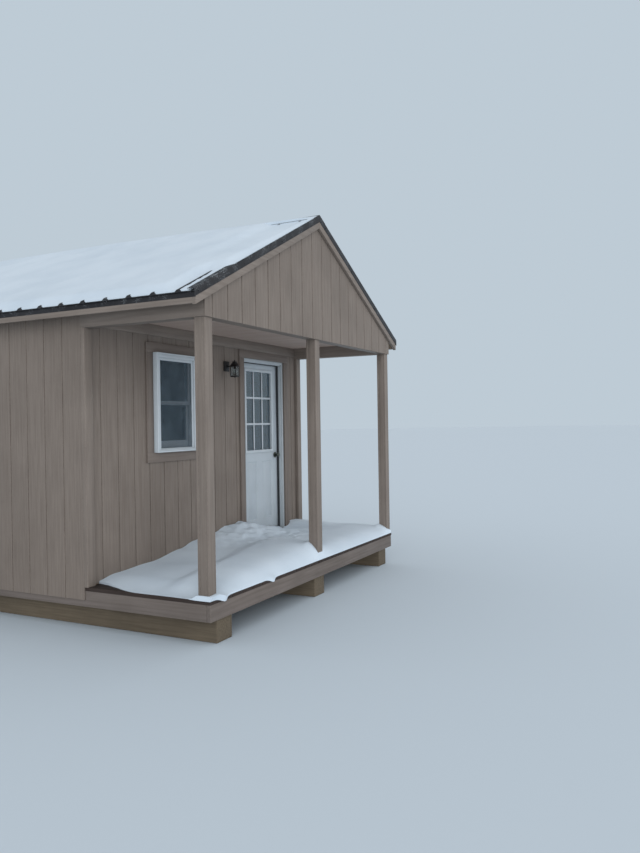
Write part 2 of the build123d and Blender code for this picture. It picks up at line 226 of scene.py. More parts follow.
# Weathering: broad blotches, chips along worn edges, and splash near the ground.
# The same marks, at their own sizes and strengths, are on timber, metal, plastic and paint.
weather, weather_in, weather_out = new_group(
    "weathering",
    [
        ("Vector", "NodeSocketVector", None),
        ("Size", "NodeSocketFloat", 1.6),
        ("Edge", "NodeSocketFloat", 0.006),
    ],
    ["Blotches", "Edges", "Splash"],
)
broad = mottle(weather, weather_in.outputs["Vector"], weather_in.outputs["Size"], 5.0, 0.55)
weather.links.new(ramp(weather, broad, 0.32, 0.7), weather_out.inputs["Blotches"])
rounded = feed(weather, "ShaderNodeBevel", {"Radius": weather_in.outputs["Edge"]}, samples=4)
surface = weather.nodes.new("ShaderNodeNewGeometry")
facing = feed(
    weather,
    "ShaderNodeVectorMath",
    {0: rounded.outputs["Normal"], 1: surface.outputs["True Normal"]},
    operation="DOT_PRODUCT",
)
worn = ramp(weather, calculate(weather, "SUBTRACT", 1.0, facing.outputs["Value"]), 0.01, 0.12)
chips = mottle(weather, weather_in.outputs["Vector"], 45.0, 4.0)
worn_chips = calculate(weather, "MULTIPLY", worn, ramp(weather, chips, 0.42, 0.62))
weather.links.new(worn_chips, weather_out.inputs["Edges"])
place = weather.nodes.new("ShaderNodeTexCoord")
height = feed(weather, "ShaderNodeSeparateXYZ", {"Vector": place.outputs["Object"]})
low_down = ramp(weather, height.outputs["Z"], 1.0, 0.15)
weather.links.new(calculate(weather, "MULTIPLY", low_down, broad), weather_out.inputs["Splash"])

turns = {"X": (0, math.radians(90), 0), "Y": (math.radians(90), 0, 0), "Z": (0, 0, 0)}


def add_group(tree, group, vector, **values):
    """Places a shared group, with its own values for this material."""
    added = feed(tree, "ShaderNodeGroup", {}, node_tree=group)
    tree.links.new(vector, added.inputs["Vector"])
    for name, value in values.items():
        added.inputs[name].default_value = value
    return added


def stain(tree, mask, strength, under, over):
    """Lays one colour over another where a mask says, at some strength."""
    return blend_colour(tree, calculate(tree, "MULTIPLY", mask, strength), under, over)


def roughen(tree, shader, value, low, high):
    """Spreads the shader's roughness from low to high by a value."""
    spread = feed(tree, "ShaderNodeMapRange", {"Value": value, "To Min": low, "To Max": high})
    tree.links.new(spread.outputs[0], shader.inputs["Roughness"])


def raise_relief(tree, shader, height, strength, distance):
    """Gives the shader fine relief."""
    bump = feed(tree, "ShaderNodeBump", {"Height": height, "Strength": strength, "Distance": distance})
    tree.links.new(bump.outputs[0], shader.inputs["Normal"])


def timber(name, along, colour, dark, worn_colour, fineness=60.0, relief=0.35, roughness=0.8, wear=0.5):
    """Sawn or painted timber, with its fibres along one axis."""
    material, tree, shader = blank_material(name)
    place = tree.nodes.new("ShaderNodeTexCoord").outputs["Object"]
    laid = feed(tree, "ShaderNodeMapping", {"Vector": place, "Rotation": turns[along]})
    fibre = add_group(tree, grain, laid.outputs[0], Fineness=fineness)
    worn = add_group(tree, weather, place)
    streaked = stain(tree, fibre.outputs["Streaks"], 0.45, colour, dark)
    blotched = stain(tree, worn.outputs["Blotches"], 0.35, streaked, dark)
    splashed = stain(tree, worn.outputs["Splash"], 0.3, blotched, dark)
    edged = stain(tree, worn.outputs["Edges"], wear, splashed, worn_colour)
    tree.links.new(edged, shader.inputs["Base Color"])
    roughen(tree, shader, fibre.outputs["Streaks"], roughness - 0.08, roughness + 0.1)
    raise_relief(tree, shader, fibre.outputs["Relief"], relief, 0.002)
    shader.inputs["Specular IOR Level"].default_value = 0.3
    return material


def put_up(piece, material, slot, *nodes, body="root"):
    """Finishes a piece: its material, its body, and the solids of the frame that it stands for; the slot is
    not used.
    """
    piece.data.materials.append(material)
    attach(piece, body)
    if nodes:
        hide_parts(*nodes)


treated = {
    along: timber(
        "treated_timber_" + along, along, chip(104, 94, 79), chip(62, 55, 46), chip(128, 118, 100), wear=0.3
    )
    for along in ("X", "Y")
}
for node in ("skid_left", "skid_middle", "skid_right"):
    skid = dressed(node, 0.008, 3)
    put_up(skid, treated["Y"], "treated_timber", node)


# Floor frame: treated 2 by 6 joists inside painted rim boards, nailed at the corners.
# The rims wear the hut's taupe paint, splashed and scuffed where they stand near the ground.
taupe = chip(124, 115, 108)
taupe_dark = chip(92, 84, 78)
taupe_worn = chip(154, 145, 136)
rim_taupe = chip(110, 102, 98)
trim_paint = {
    along: timber(
        "taupe_trim_" + along, along, taupe, taupe_dark, taupe_worn,
        fineness=45.0, relief=0.25, roughness=0.62, wear=0.35,
    )
    for along in ("X", "Y", "Z")
}
rim_paint = {
    along: timber(
        "taupe_rim_" + along, along, rim_taupe, chip(78, 71, 66), taupe_worn,
        fineness=45.0, relief=0.35, roughness=0.7, wear=0.4,
    )
    for along in ("X", "Y")
}
joists = dressed("floor_joists", 0.002)
put_up(joists, treated["X"], "treated_timber", "floor_joists")
for node, along in (("end_rim_boards", "X"), ("side_rim_boards", "Y")):
    rim = dressed(node, 0.004)
    put_up(rim, rim_paint[along], "painted_trim", node)


# Porch deck and room floor: boards laid from front to rear and nailed to the joists.
# The porch boards are dark and weathered, with gaps for rain, and their ends stand proud of the rims.
# The room's boards are plain and tight.
def block(name, low, high):
    """A box from its lowest to its highest corner."""
    bpy.ops.object.select_all(action="DESELECT")
    middle = [(a + b) / 2 for a, b in zip(low, high)]
    size = [b - a for a, b in zip(low, high)]
    bpy.ops.mesh.primitive_cube_add(size=1, location=middle, scale=size)
    piece = bpy.context.object
    piece.name = name
    bpy.ops.object.transform_apply(location=True, rotation=True, scale=True)
    return piece


def repeat(piece, count, step):
    """Copies a piece in a row, inside its own mesh."""
    alone(piece)
    row = piece.modifiers.new("row", "ARRAY")
    row.use_relative_offset = False
    row.use_constant_offset = True
    row.constant_offset_displace = step
    row.count = count
    bpy.ops.object.modifier_apply(modifier="row")


def boards(name, node, count, gap, ease, overhang=0.0, nosing=0.0):
    """A floor of boards that fills a floor solid, laid from front to rear."""
    low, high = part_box(node)
    low = low - Vector((overhang, 0, 0))
    high = high + Vector((overhang, 0, 0))
    pitch = (high.x - low.x + gap) / count
    board_low = (low.x, low.y - overhang, low.z - nosing)
    piece = block(name, board_low, (low.x + pitch - gap, high.y, high.z))
    soften(piece, ease)
    repeat(piece, count, (pitch, 0, 0))
    return piece


deck_wood = timber(
    "deck_wood", "Y", chip(58, 47, 43), chip(30, 25, 23), chip(90, 78, 70),
    fineness=50.0, relief=0.6, roughness=0.78, wear=0.3,
)
floor_wood = timber(
    "floor_wood", "Y", chip(176, 148, 112), chip(140, 110, 78), chip(190, 165, 130),
    fineness=40.0, relief=0.3, roughness=0.55, wear=0.2,
)
deck = boards("deck_boards", "porch_deck", count=25, gap=0.0035, ease=0.003, overhang=0.004, nosing=0.010)
put_up(deck, deck_wood, "deck_boards", "porch_deck")
room_floor = boards("room_floor_boards", "room_floor", count=26, gap=0.0012, ease=0.0012)
put_up(room_floor, floor_wood, "floor_boards", "room_floor")


# Walls: grooved plywood siding outside, studs between, and plain panels inside.
# The siding is 1/2 in thick, with a groove 3/8 in wide every 8 in, and laps over the floor frame.
# The lining is one slab with its studs, scored where its 4 ft panels meet.
inch = 0.0254
siding = 0.5 * inch
groove_spacing = 8 * inch
groove_width = 0.375 * inch
groove_depth = 0.25 * inch
panel_width = 48 * inch
seam_width = 0.004
seam_depth = 0.002
across_x = 0
across_y = 1


def cut_out(piece, low, high):
    """Cuts a box out of a piece."""
    cutter = block("cutter", low, high)
    alone(piece)
    opening = piece.modifiers.new("opening", "BOOLEAN")
    opening.operation = "DIFFERENCE"
    opening.solver = "EXACT"
    opening.object = cutter
    bpy.ops.object.modifier_apply(modifier="opening")
    bpy.data.objects.remove(cutter)


def grooved(name, low, high, face, across, first, spacing, width, depth, trims=(), cuts=()):
    """A sheet with grooves across one way: the strips between them are raised from a thinner sheet."""
    low = Vector(low)
    high = Vector(high)
    face = Vector(face)
    lift = face * depth
    sheet_low = [a - min(0, b) for a, b in zip(low, lift)]
    sheet_high = [a - max(0, b) for a, b in zip(high, lift)]
    piece = block(name, sheet_low, sheet_high)
    for place, normal in trims:
        slice_all(piece, place, normal, use_fill=True, clear_outer=True)
    number = math.ceil((low[across] - first) / spacing)
    grooves = []
    while first + number * spacing < high[across]:
        if first + number * spacing > low[across] + width:
            grooves.append(first + number * spacing)
        number += 1
    normal = Vector((0, 0, 0))
    normal[across] = 1
    for groove in grooves:
        for edge in (groove - width / 2, groove + width / 2):
            place = Vector((0, 0, 0))
            place[across] = edge
            slice_all(piece, place, normal)

    def raised(middle, facing):
        clear = all(abs(middle[across] - groove) > width / 2 for groove in grooves)
        return clear and facing.dot(face) > 0.99

    open_faces(piece, raised)
    bpy.ops.mesh.extrude_region_move(TRANSFORM_OT_translate={"value": lift})
    close_faces()
    for cut_low, cut_high in cuts:
        cut_out(piece, cut_low, cut_high)
    return piece


wall_low, wall_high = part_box("left_wall")
rear_low, rear_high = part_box("rear_wall")
window_low, window_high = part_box("window_frame")
head_low, head_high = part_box("door_head")
side = -wall_low.x
inner_side = -wall_high.x
frame_side = side - siding
porch_wall = wall_low.y
rear = rear_high.y
lap = rear_low.z
wall_top = rear_high.z
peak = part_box("rear_gable")[1].z
floor_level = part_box("room_floor")[1].z
wall_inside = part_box("front_wall_over_door")[1].y
rear_inside = rear_low.y
slope = math.atan2(peak - wall_top, side)
slope_left = ((0, 0, peak), (-math.sin(slope), 0, math.cos(slope)))
slope_right = ((0, 0, peak), (math.sin(slope), 0, math.cos(slope)))

siding_paint = timber(
    "taupe_siding", "Z", chip(121, 112, 105), chip(91, 83, 77), chip(146, 137, 129),
    fineness=75.0, relief=0.55, roughness=0.7, wear=0.25,
)
lining_wood = timber(
    "lining_wood", "Z", chip(150, 130, 104), chip(118, 99, 76), chip(166, 147, 120),
    fineness=30.0, relief=0.2, roughness=0.6, wear=0.1,
)
grooves = (groove_spacing, groove_width, groove_depth)
seams = (panel_width, seam_width, seam_depth)


def nail_siding(name, nodes, *layout, **shape):
    """A sheet of painted siding with its grooves, in place of its walls' outer faces."""
    sheet = grooved(name + "_siding", *layout, *grooves, **shape)
    soften(sheet, 0.0012, 1)
    put_up(sheet, siding_paint, "painted_siding", *nodes)


def nail_lining(name, nodes, *layout, **shape):
    """A sheet of plain panels with fine seams, in place of its walls' inner faces."""
    panels = grooved(name + "_lining", *layout, *seams, **shape)
    soften(panels, 0.0005, 1)
    put_up(panels, lining_wood, "inside_lining", *nodes)


spare = side * 0.1
for node, way in (("left_wall", -1), ("right_wall", 1)):
    outer = way * side
    back = way * frame_side
    room = way * inner_side
    nail_siding(
        node,
        (node,),
        (min(outer, back), porch_wall, lap),
        (max(outer, back), rear - siding, wall_top),
        (way, 0, 0),
        across_y,
        porch_wall,
    )
    nail_lining(
        node,
        (node,),
        (min(back, room), porch_wall + siding, floor_level),
        (max(back, room), rear_inside, wall_top + spare),
        (-way, 0, 0),
        across_y,
        wall_inside,
        trims=(slope_left if way < 0 else slope_right,),
    )

nail_siding(
    "rear_wall",
    ("rear_wall",),
    (-side, rear - siding, lap),
    (side, rear, wall_top),
    (0, 1, 0),
    across_x,
    -side,
)
nail_lining(
    "rear_wall",
    ("rear_wall",),
    (-frame_side, rear_inside, floor_level),
    (frame_side, rear - siding, wall_top),
    (0, -1, 0),
    across_x,
    -inner_side,
)

beyond = 0.1
hole_front = porch_wall - beyond
hole_rear = wall_inside + beyond
window_hole = ((window_low.x, hole_front, window_low.z), (window_high.x, hole_rear, window_high.z))
door_hole = ((head_low.x, hole_front, floor_level - beyond), (head_high.x, hole_rear, head_high.z))
front_walls = ("front_wall_window_side", "front_wall_door_side", "front_wall_over_door")
nail_siding(
    "front_wall",
    front_walls,
    (-frame_side, porch_wall, floor_level),
    (frame_side, porch_wall + siding, wall_top),
    (0, -1, 0),
    across_x,
    -frame_side,
    cuts=(window_hole, door_hole),
)
nail_lining(
    "front_wall",
    front_walls,
    (-inner_side, porch_wall + siding, floor_level),
    (inner_side, wall_inside, wall_top),
    (0, 1, 0),
    across_x,
    -inner_side,
    cuts=(window_hole, door_hole),
)


# Gables: the same grooved siding fills the roof's two ends, cut to the roof's slope.
# The front gable's first groove lies close to its left end, as the sheets were cut there.
porch_gable_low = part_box("porch_gable")[0]
beam_bottom = porch_gable_low.z
front = porch_gable_low.y
gable_first_groove = 3.75 * inch
for node, y0, y1, low_edge, facing, first_groove in (
    ("porch_gable", front, front + siding, beam_bottom, -1, gable_first_groove - side),
    ("rear_gable", rear - siding, rear, wall_top, 1, -side),
):
    nail_siding(
        node,
        (node,),
        (-side, y0, low_edge),
        (side, y1, peak),
        (0, facing, 0),
        across_x,
        first_groove,
        trims=(slope_left, slope_right),
    )

gable_frame_wood = timber(
    "gable_frame_wood", "X", chip(170, 146, 110), chip(136, 112, 80), chip(184, 162, 128)
)
header_low, header_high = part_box("porch_header")
for node, y0, y1 in (
    ("porch_gable", header_low.y, header_high.y),
    ("rear_gable", rear_inside, rear - siding),
):
    backing = block(node + "_framing", (-side, y0, wall_top), (side, y1, peak))
    for place, normal in (slope_left, slope_right):
        slice_all(backing, place, normal, use_fill=True, clear_outer=True)
    soften(backing, 0.002)
    put_up(backing, gable_frame_wood, "roof_timber", node)


# Porch posts: square posts cased in painted boards, nailed up tight under the header.
# The front and rear boards cover the edges of the side boards, whose joints show as fine lines.
def join(name, pieces):
    """Makes several meshes one piece."""
    alone(pieces[0])
    for piece in pieces:
        piece.select_set(True)
    bpy.ops.object.join()
    pieces[0].name = name
    return pieces[0]


post_board = 0.75 * inch
joint_step = 0.0012
for node in ("post_left", "post_middle", "post_right"):
    low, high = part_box(node)
    cased = [
        block("front_board", low, (high.x, low.y + post_board, high.z)),
        block("rear_board", (low.x, high.y - post_board, low.z), high),
    ]
    for x0, x1 in ((low.x + joint_step, low.x + post_board), (high.x - post_board, high.x - joint_step)):
        cased.append(block("side_board", (x0, low.y + post_board, low.z), (x1, high.y - post_board, high.z)))
    post = join(node + "_boards", cased)
    soften(post, 0.002)
    put_up(post, trim_paint["Z"], "painted_trim", node)


# Porch timber: the header and side beams on the posts, and the trim where the porch meets the wall.
# All are painted timber, planed smooth, with small eased edges, and fastened with hidden nails.
for node, along in (
    ("wall_post_left", "Z"),
    ("wall_post_right", "Z"),
    ("porch_header", "X"),
    ("porch_frieze", "X"),
    ("porch_beam_left", "Y"),
    ("porch_beam_right", "Y"),
):
    member = dressed(node, 0.003)
    put_up(member, trim_paint[along], "painted_trim", node)


# Ceilings: painted sheets under the porch roof, plain panels in the room.
# Each is nailed up to the roof's frame in 4 ft widths, with a fine seam between sheets.
# The porch ceiling's taupe is drawn far paler than the siding's: painted light, for the light the snow throws
# up under the porch roof.
lightened_soffit_paint = timber(
    "lightened_taupe_soffit", "Y", chip(176, 158, 148), chip(145, 129, 120), chip(186, 168, 158),
    fineness=40.0, relief=0.2, roughness=0.7, wear=0.1,
)
ceiling_wood = timber(
    "ceiling_wood", "Y", chip(146, 128, 104), chip(116, 98, 76), chip(162, 145, 120),
    fineness=30.0, relief=0.2, roughness=0.6, wear=0.1,
)
for node, material, slot in (
    ("porch_ceiling", lightened_soffit_paint, "painted_siding"),
    ("room_ceiling", ceiling_wood, "inside_lining"),
):
    low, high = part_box(node)
    sheet = grooved(node + "_sheets", low, high, (0, 0, -1), across_x, low.x, *seams)
    soften(sheet, 0.0005, 1)
    put_up(sheet, material, slot, node)


# Roof panels: rafters and sheathing together, one panel to each slope.
# They are bare timber, which shows from below at the open eaves.
roof_wood = timber(
    "roof_wood", "X", chip(128, 113, 96), chip(92, 80, 68), chip(146, 130, 112),
    fineness=35.0, relief=0.3, roughness=0.75, wear=0.2,
)
for node in ("roof_panel_left", "roof_panel_right"):
    panel = dressed(node, 0.002)
    put_up(panel, roof_wood, "roof_timber", node)


# Rake boards and fascias: painted boards that cover the roof's cut ends and its eaves.
# They are nailed to the rafters, with small eased edges, under the bent metal trims.
for node, along in (
    ("rake_board_front_left", "X"),
    ("rake_board_front_right", "X"),
    ("rake_board_rear_left", "X"),
    ("rake_board_rear_right", "X"),
    ("fascia_left", "Y"),
    ("fascia_right", "Y"),
):
    edge_board = dressed(node, 0.003)
    put_up(edge_board, trim_paint[along], "painted_trim", node)


# Roof metal: black ribbed steel sheets screwed down, with bent trims at the rakes, eaves and ridge.
# Frost and blown snow cling to the paint where it shows at the edges.
frost, frost_in, frost_out = new_group(
    "frost",
    [("Vector", "NodeSocketVector", None), ("Cover", "NodeSocketFloat", 0.5)],
    ["Mask"],
)
patches = mottle(frost, frost_in.outputs["Vector"], 9.0, 8.0, 0.7)
crystals = feed(frost, "ShaderNodeTexVoronoi", {"Vector": frost_in.outputs["Vector"], "Scale": 130.0})
face_way = frost.nodes.new("ShaderNodeNewGeometry")
upward = feed(frost, "ShaderNodeSeparateXYZ", {"Vector": face_way.outputs["Normal"]})
lying = ramp(frost, upward.outputs["Z"], -0.1, 0.9)
grains = ramp(frost, crystals.outputs["Distance"], 0.5, 0.12)
drifted = calculate(frost, "MULTIPLY", ramp(frost, patches, 0.46, 0.66), grains)
spread = calculate(frost, "MULTIPLY", drifted, calculate(frost, "ADD", lying, 0.25))
frost.links.new(calculate(frost, "MULTIPLY", spread, frost_in.outputs["Cover"]), frost_out.inputs["Mask"])


def coated_metal(name, colour, cover, roughness):
    """Painted sheet metal with a little frost on it."""
    material, tree, shader = blank_material(name)
    place = tree.nodes.new("ShaderNodeTexCoord").outputs["Object"]
    rime = add_group(tree, frost, place, Cover=cover)
    worn = add_group(tree, weather, place, Edge=0.003)
    scuffed = stain(tree, worn.outputs["Edges"], 0.3, colour, chip(84, 84, 88))
    dusty = stain(tree, worn.outputs["Blotches"], 0.2, scuffed, chip(58, 58, 62))
    iced = blend_colour(tree, rime.outputs["Mask"], dusty, chip(205, 214, 222))
    tree.links.new(iced, shader.inputs["Base Color"])
    shader.inputs["Specular IOR Level"].default_value = 0.25
    roughen(tree, shader, rime.outputs["Mask"], roughness, 0.9)
    raise_relief(tree, shader, mottle(tree, place, 14.0, 2.0), 0.12, 0.003)
    return material


roof_black = coated_metal("roof_black_paint", chip(32, 32, 35), cover=0.6, roughness=0.52)
trim_black = coated_metal("roof_trim_paint", chip(30, 30, 33), cover=0.95, roughness=0.55)
for node in ("roof_metal_left", "roof_metal_right"):
    metal = dressed(node, 0.0012)
    put_up(metal, roof_black, "roof_metal", node)
for node in ("rake_trim_front", "rake_trim_rear", "eave_trim_left", "eave_trim_right", "ridge_cap"):
    trim = dressed(node, 0.001)
    put_up(trim, trim_black, "roof_metal", node)


# Window: a white vinyl single-hung unit with a stepped frame, two sashes and a full-height screen.
# Rings of square section, welded at the corners, step back from the wall to the sashes.
def vinyl(name, colour, shade_and_dirt_colour, roughness):
    """Smooth white plastic or paint, with painted shade in its corners and a little dirt in blotches and low
    down.
    """
    material, tree, shader = blank_material(name)
    place = tree.nodes.new("ShaderNodeTexCoord").outputs["Object"]
    worn = add_group(tree, weather, place, Size=5.0)
    # Painted shade: where occlusion finds corners and hollows, the colour goes towards the second colour;
    # blotches and splash low down are dirt.
    corners = feed(tree, "ShaderNodeAmbientOcclusion", {"Distance": 0.03}, samples=4)
    corner_shade = ramp(tree, corners.outputs["AO"], 0.9, 0.4)
    shade_and_splash = calculate(tree, "MULTIPLY", calculate(tree, "ADD", corner_shade, worn.outputs["Splash"]), 0.5)
    dirt_and_shade_mask = calculate(tree, "ADD", calculate(tree, "MULTIPLY", worn.outputs["Blotches"], 0.12), shade_and_splash)
    tree.links.new(blend_colour(tree, dirt_and_shade_mask, colour, shade_and_dirt_colour), shader.inputs["Base Color"])
    film = mottle(tree, place, 22.0, 3.0)
    roughen(tree, shader, film, roughness - 0.08, roughness + 0.12)
    raise_relief(tree, shader, film, 0.05, 0.002)
    return material


def ring(name, low, high, left, right, bottom, top):
    """A rectangular frame facing the porch, with its four member widths."""
    hole_low = (low[0] + left, low[1], low[2] + bottom)
    hole_high = (high[0] - right, high[1], high[2] - top)
    piece = block(name, low, high)
    for edge, normal in (
        ((hole_low[0], 0, 0), (1, 0, 0)),
        ((hole_high[0], 0, 0), (1, 0, 0)),
        ((0, 0, hole_low[2]), (0, 0, 1)),
        ((0, 0, hole_high[2]), (0, 0, 1)),
    ):
        slice_all(piece, edge, normal)

    def inside(middle, facing):
        across = hole_low[0] < middle.x < hole_high[0]
        return across and hole_low[2] < middle.z < hole_high[2] and abs(facing.y) > 0.99

    open_faces(piece, inside)
    bpy.ops.mesh.bridge_edge_loops()
    close_faces()
    return piece


white_vinyl = vinyl("window_vinyl", chip(178, 187, 194), chip(122, 127, 130), roughness=0.35)
sash_low, sash_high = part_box("window_sashes")
opening_left = sash_low.x - window_low.x
opening_bottom = sash_low.z - window_low.z
opening_top = window_high.z - sash_high.z
lip = 0.014
lip_depth = 0.007
step = 0.028
step_depth = 0.012
sill_step = 0.004
step_face = window_low.y + lip_depth + step_depth
outer_ring = ring("window_frame_rings", window_low, window_high, lip, lip, lip, lip)
middle_ring = ring(
    "middle_ring",
    (window_low.x + lip, window_low.y + lip_depth, window_low.z + lip),
    (window_high.x - lip, window_high.y, window_high.z - lip),
    step,
    step,
    opening_bottom - lip - sill_step,
    step,
)
inner_ring = ring(
    "inner_ring",
    (window_low.x + lip + step, step_face, window_low.z + opening_bottom - sill_step),
    (window_high.x - lip - step, window_high.y, window_high.z - lip - step),
    opening_left - lip - step,
    opening_left - lip - step,
    sill_step,
    opening_top - lip - step,
)
window_frame = join("window_frame_rings", [outer_ring, middle_ring, inner_ring])
soften(window_frame, 0.0015)
put_up(window_frame, white_vinyl, "white_vinyl", "window_frame")

sashes = dressed("window_sashes", 0.003, 3)
put_up(sashes, white_vinyl, "white_vinyl", "window_sashes")


def glass(name, tint, bending=1.5, frosting=0.08):
    """Sheet glass with a faint film on it."""
    material, tree, shader = blank_material(name)
    shader.inputs["Base Color"].default_value = tint
    shader.inputs["Transmission Weight"].default_value = 1.0
    shader.inputs["IOR"].default_value = bending
    place = tree.nodes.new("ShaderNodeTexCoord").outputs["Object"]
    roughen(tree, shader, mottle(tree, place, 6.0, 4.0), 0.0, frosting)
    return material


pane_glass = glass("pane_glass", chip(222, 236, 240))
panes = dressed("window_glass", 0.0005, 1)
put_up(panes, pane_glass, "clear_glass", "window_glass")


# Insect screen: dark woven cloth over the whole opening, held in a thin white frame.
# The frame clips in just behind the unit's front, and the cloth sags a little in its middle.
def woven_screen(name):
    """Dark insect mesh, half see-through, with dust in its weave."""
    material, tree, shader = blank_material(name)
    shader.inputs["Alpha"].default_value = 0.34
    shader.inputs["Specular IOR Level"].default_value = 0.2
    place = tree.nodes.new("ShaderNodeTexCoord").outputs["Object"]
    threads = [
        feed(tree, "ShaderNodeTexWave", {"Vector": place, "Scale": 110.0}, bands_direction=way).outputs["Fac"]
        for way in ("X", "Z")
    ]
    weave = calculate(tree, "MAXIMUM", *threads)
    dusty = calculate(tree, "MULTIPLY", weave, ramp(tree, mottle(tree, place, 9.0, 5.0), 0.35, 0.7))
    cloth = blend_colour(tree, dusty, chip(55, 71, 83), chip(83, 99, 111))
    tree.links.new(cloth, shader.inputs["Base Color"])
    roughen(tree, shader, weave, 0.5, 0.75)
    raise_relief(tree, shader, weave, 0.3, 0.0005)
    return material


screen_member = 0.006
screen_depth = 0.008
screen_setback = 0.002
screen_low = Vector((sash_low.x, step_face + screen_setback, sash_low.z))
screen_high = Vector((sash_high.x, screen_low.y + screen_depth, sash_high.z))
screen_frame = ring(
    "window_screen_frame", screen_low, screen_high, screen_member, screen_member, screen_member, screen_member
)
soften(screen_frame, 0.0012)
put_up(screen_frame, white_vinyl, "white_vinyl")

cloth_low = screen_low + Vector((screen_member, 0, screen_member))
cloth_high = screen_high - Vector((screen_member, 0, screen_member))
cloth_y = (screen_low.y + screen_high.y) / 2
cloth_sag = 0.0015
bpy.ops.object.select_all(action="DESELECT")
bpy.ops.mesh.primitive_grid_add(x_subdivisions=16, y_subdivisions=24, size=1)
screen_cloth = bpy.context.object
screen_cloth.name = "window_screen_cloth"
bpy.ops.object.transform_apply(location=True, rotation=True, scale=True)
for vertex in screen_cloth.data.vertices:
    across, upward = vertex.co.x, vertex.co.y
    sag = cloth_sag * math.cos(math.pi * across) * math.cos(math.pi * upward)
    vertex.co = (
        cloth_low.x + (across + 0.5) * (cloth_high.x - cloth_low.x),
        cloth_y + sag,
        cloth_low.z + (upward + 0.5) * (cloth_high.z - cloth_low.z),
    )
alone(screen_cloth)
cloth_sheet = screen_cloth.modifiers.new("sheet", "SOLIDIFY")
cloth_sheet.thickness = 0.0005
bpy.ops.object.modifier_apply(modifier="sheet")
put_up(screen_cloth, woven_screen("screen_cloth"), "dark_hardware")


# Window casing: four flat painted boards nailed round the unit over the siding.
# Their paint is drawn darker than the siding's, as is the door casing's: painted shade, for the shade they
# stand in under the porch roof.
shaded_casing_paint = {
    along: timber(
        "shaded_taupe_casing_" + along, along, chip(114, 105, 99), chip(86, 78, 73), taupe_worn,
        fineness=45.0, relief=0.25, roughness=0.64, wear=0.35,
    )
    for along in ("X", "Z")
}


def nail_up(name, node, along, parts):
    """Casing boards with their grain one way."""
    casing_boards = join(name, [block("casing_board", low, high) for low, high in parts])
    soften(casing_boards, 0.002)
    put_up(casing_boards, shaded_casing_paint[along], "painted_trim", node)


casing_low, casing_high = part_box("window_casing")
casing_rails = [
    (casing_low, (casing_high.x, casing_high.y, window_low.z)),
    ((casing_low.x, casing_low.y, window_high.z), casing_high),
]
casing_legs = [
    ((casing_low.x, casing_low.y, window_low.z), (window_low.x, casing_high.y, window_high.z)),
    ((window_high.x, casing_low.y, window_low.z), (casing_high.x, casing_high.y, window_high.z)),
]
nail_up("window_casing_rails", "window_casing", "X", casing_rails)
nail_up("window_casing_legs", "window_casing", "Z", casing_legs)


# Door frame: white painted jambs and head, each with a stop nailed on a little behind its front edge.
# A black rubber strip along the stops seals against the face of the closed door.
white_paint = vinyl("frame_white_paint", chip(170, 178, 184), chip(118, 122, 124), roughness=0.45)
rubber = vinyl("black_rubber", chip(30, 33, 38), chip(58, 60, 62), roughness=0.6)
stop = 0.5 * inch
stop_setback = 0.02
jamb_left_low, jamb_left_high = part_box("door_jamb_left")
jamb_right_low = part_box("door_jamb_right")[0]
slab_low, slab_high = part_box("door_slab")
clear = 0.002
stop_faces = {
    "door_jamb_left": (
        (jamb_left_high.x - stop, porch_wall - clear, jamb_left_low.z),
        (jamb_left_high.x + clear, porch_wall + stop_setback, head_high.z),
    ),
    "door_jamb_right": (
        (jamb_right_low.x - clear, porch_wall - clear, jamb_right_low.z),
        (jamb_right_low.x + stop, porch_wall + stop_setback, head_high.z),
    ),
    "door_head": (
        (jamb_left_high.x - stop, porch_wall - clear, head_low.z - clear),
        (jamb_right_low.x + stop, porch_wall + stop_setback, head_low.z + stop),
    ),
}
for node, (low, high) in stop_faces.items():
    member = clean_copy(node)
    cut_out(member, low, high)
    soften(member, 0.0015)
    put_up(member, white_paint, "white_paint", node)

seal_thickness = 0.007
seal_depth = 0.026
seal_gap = 0.0015
seal_rear = slab_low.y - seal_gap
seal_front = seal_rear - seal_depth
seal_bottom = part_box("door_sill")[1].z
seal_parts = [
    ((jamb_left_high.x, seal_front, seal_bottom), (jamb_left_high.x + seal_thickness, seal_rear, head_low.z)),
    ((jamb_right_low.x - seal_thickness, seal_front, seal_bottom), (jamb_right_low.x, seal_rear, head_low.z)),
    ((jamb_left_high.x, seal_front, head_low.z - seal_thickness), (jamb_right_low.x, seal_rear, head_low.z)),
]
seal = join("door_weatherstrip", [block("seal", low, high) for low, high in seal_parts])
soften(seal, 0.0028, 3)
put_up(seal, rubber, "dark_hardware")


# Door casing: two taupe boards beside the frame with a third across their tops.
# The boards are nailed over the siding and stand a little proud of the white frame.
door_casing_low, door_casing_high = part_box("door_casing")
door_casing_legs = [
    ((door_casing_low.x, door_casing_low.y, floor_level), (head_low.x, door_casing_high.y, head_high.z)),
    ((head_high.x, door_casing_low.y, floor_level), (door_casing_high.x, door_casing_high.y, head_high.z)),
]
door_casing_head = [((door_casing_low.x, door_casing_low.y, head_high.z), door_casing_high)]
nail_up("door_casing_legs", "door_casing", "Z", door_casing_legs)
nail_up("door_casing_head", "door_casing", "X", door_casing_head)


# Sill: a ribbed aluminium threshold across the doorway, screwed down between the jambs.
# Fine grooves from jamb to jamb, cut along its top, keep feet from slipping.
def bare_metal(name, colour, metallic, roughness):
    """Plain metal with bright worn edges and dull patches."""
    material, tree, shader = blank_material(name)
    shader.inputs["Metallic"].default_value = metallic
    place = tree.nodes.new("ShaderNodeTexCoord").outputs["Object"]
    worn = add_group(tree, weather, place, Size=30.0, Edge=0.0015)
    dull = tuple(value * 0.55 for value in colour[:3]) + (1,)
    bright = tuple(min(1, value * 1.5) for value in colour[:3]) + (1,)
    patched = stain(tree, worn.outputs["Blotches"], 0.5, colour, dull)
    tree.links.new(blend_colour(tree, worn.outputs["Edges"], patched, bright), shader.inputs["Base Color"])
    roughen(tree, shader, worn.outputs["Blotches"], roughness - 0.08, roughness + 0.12)
    return material


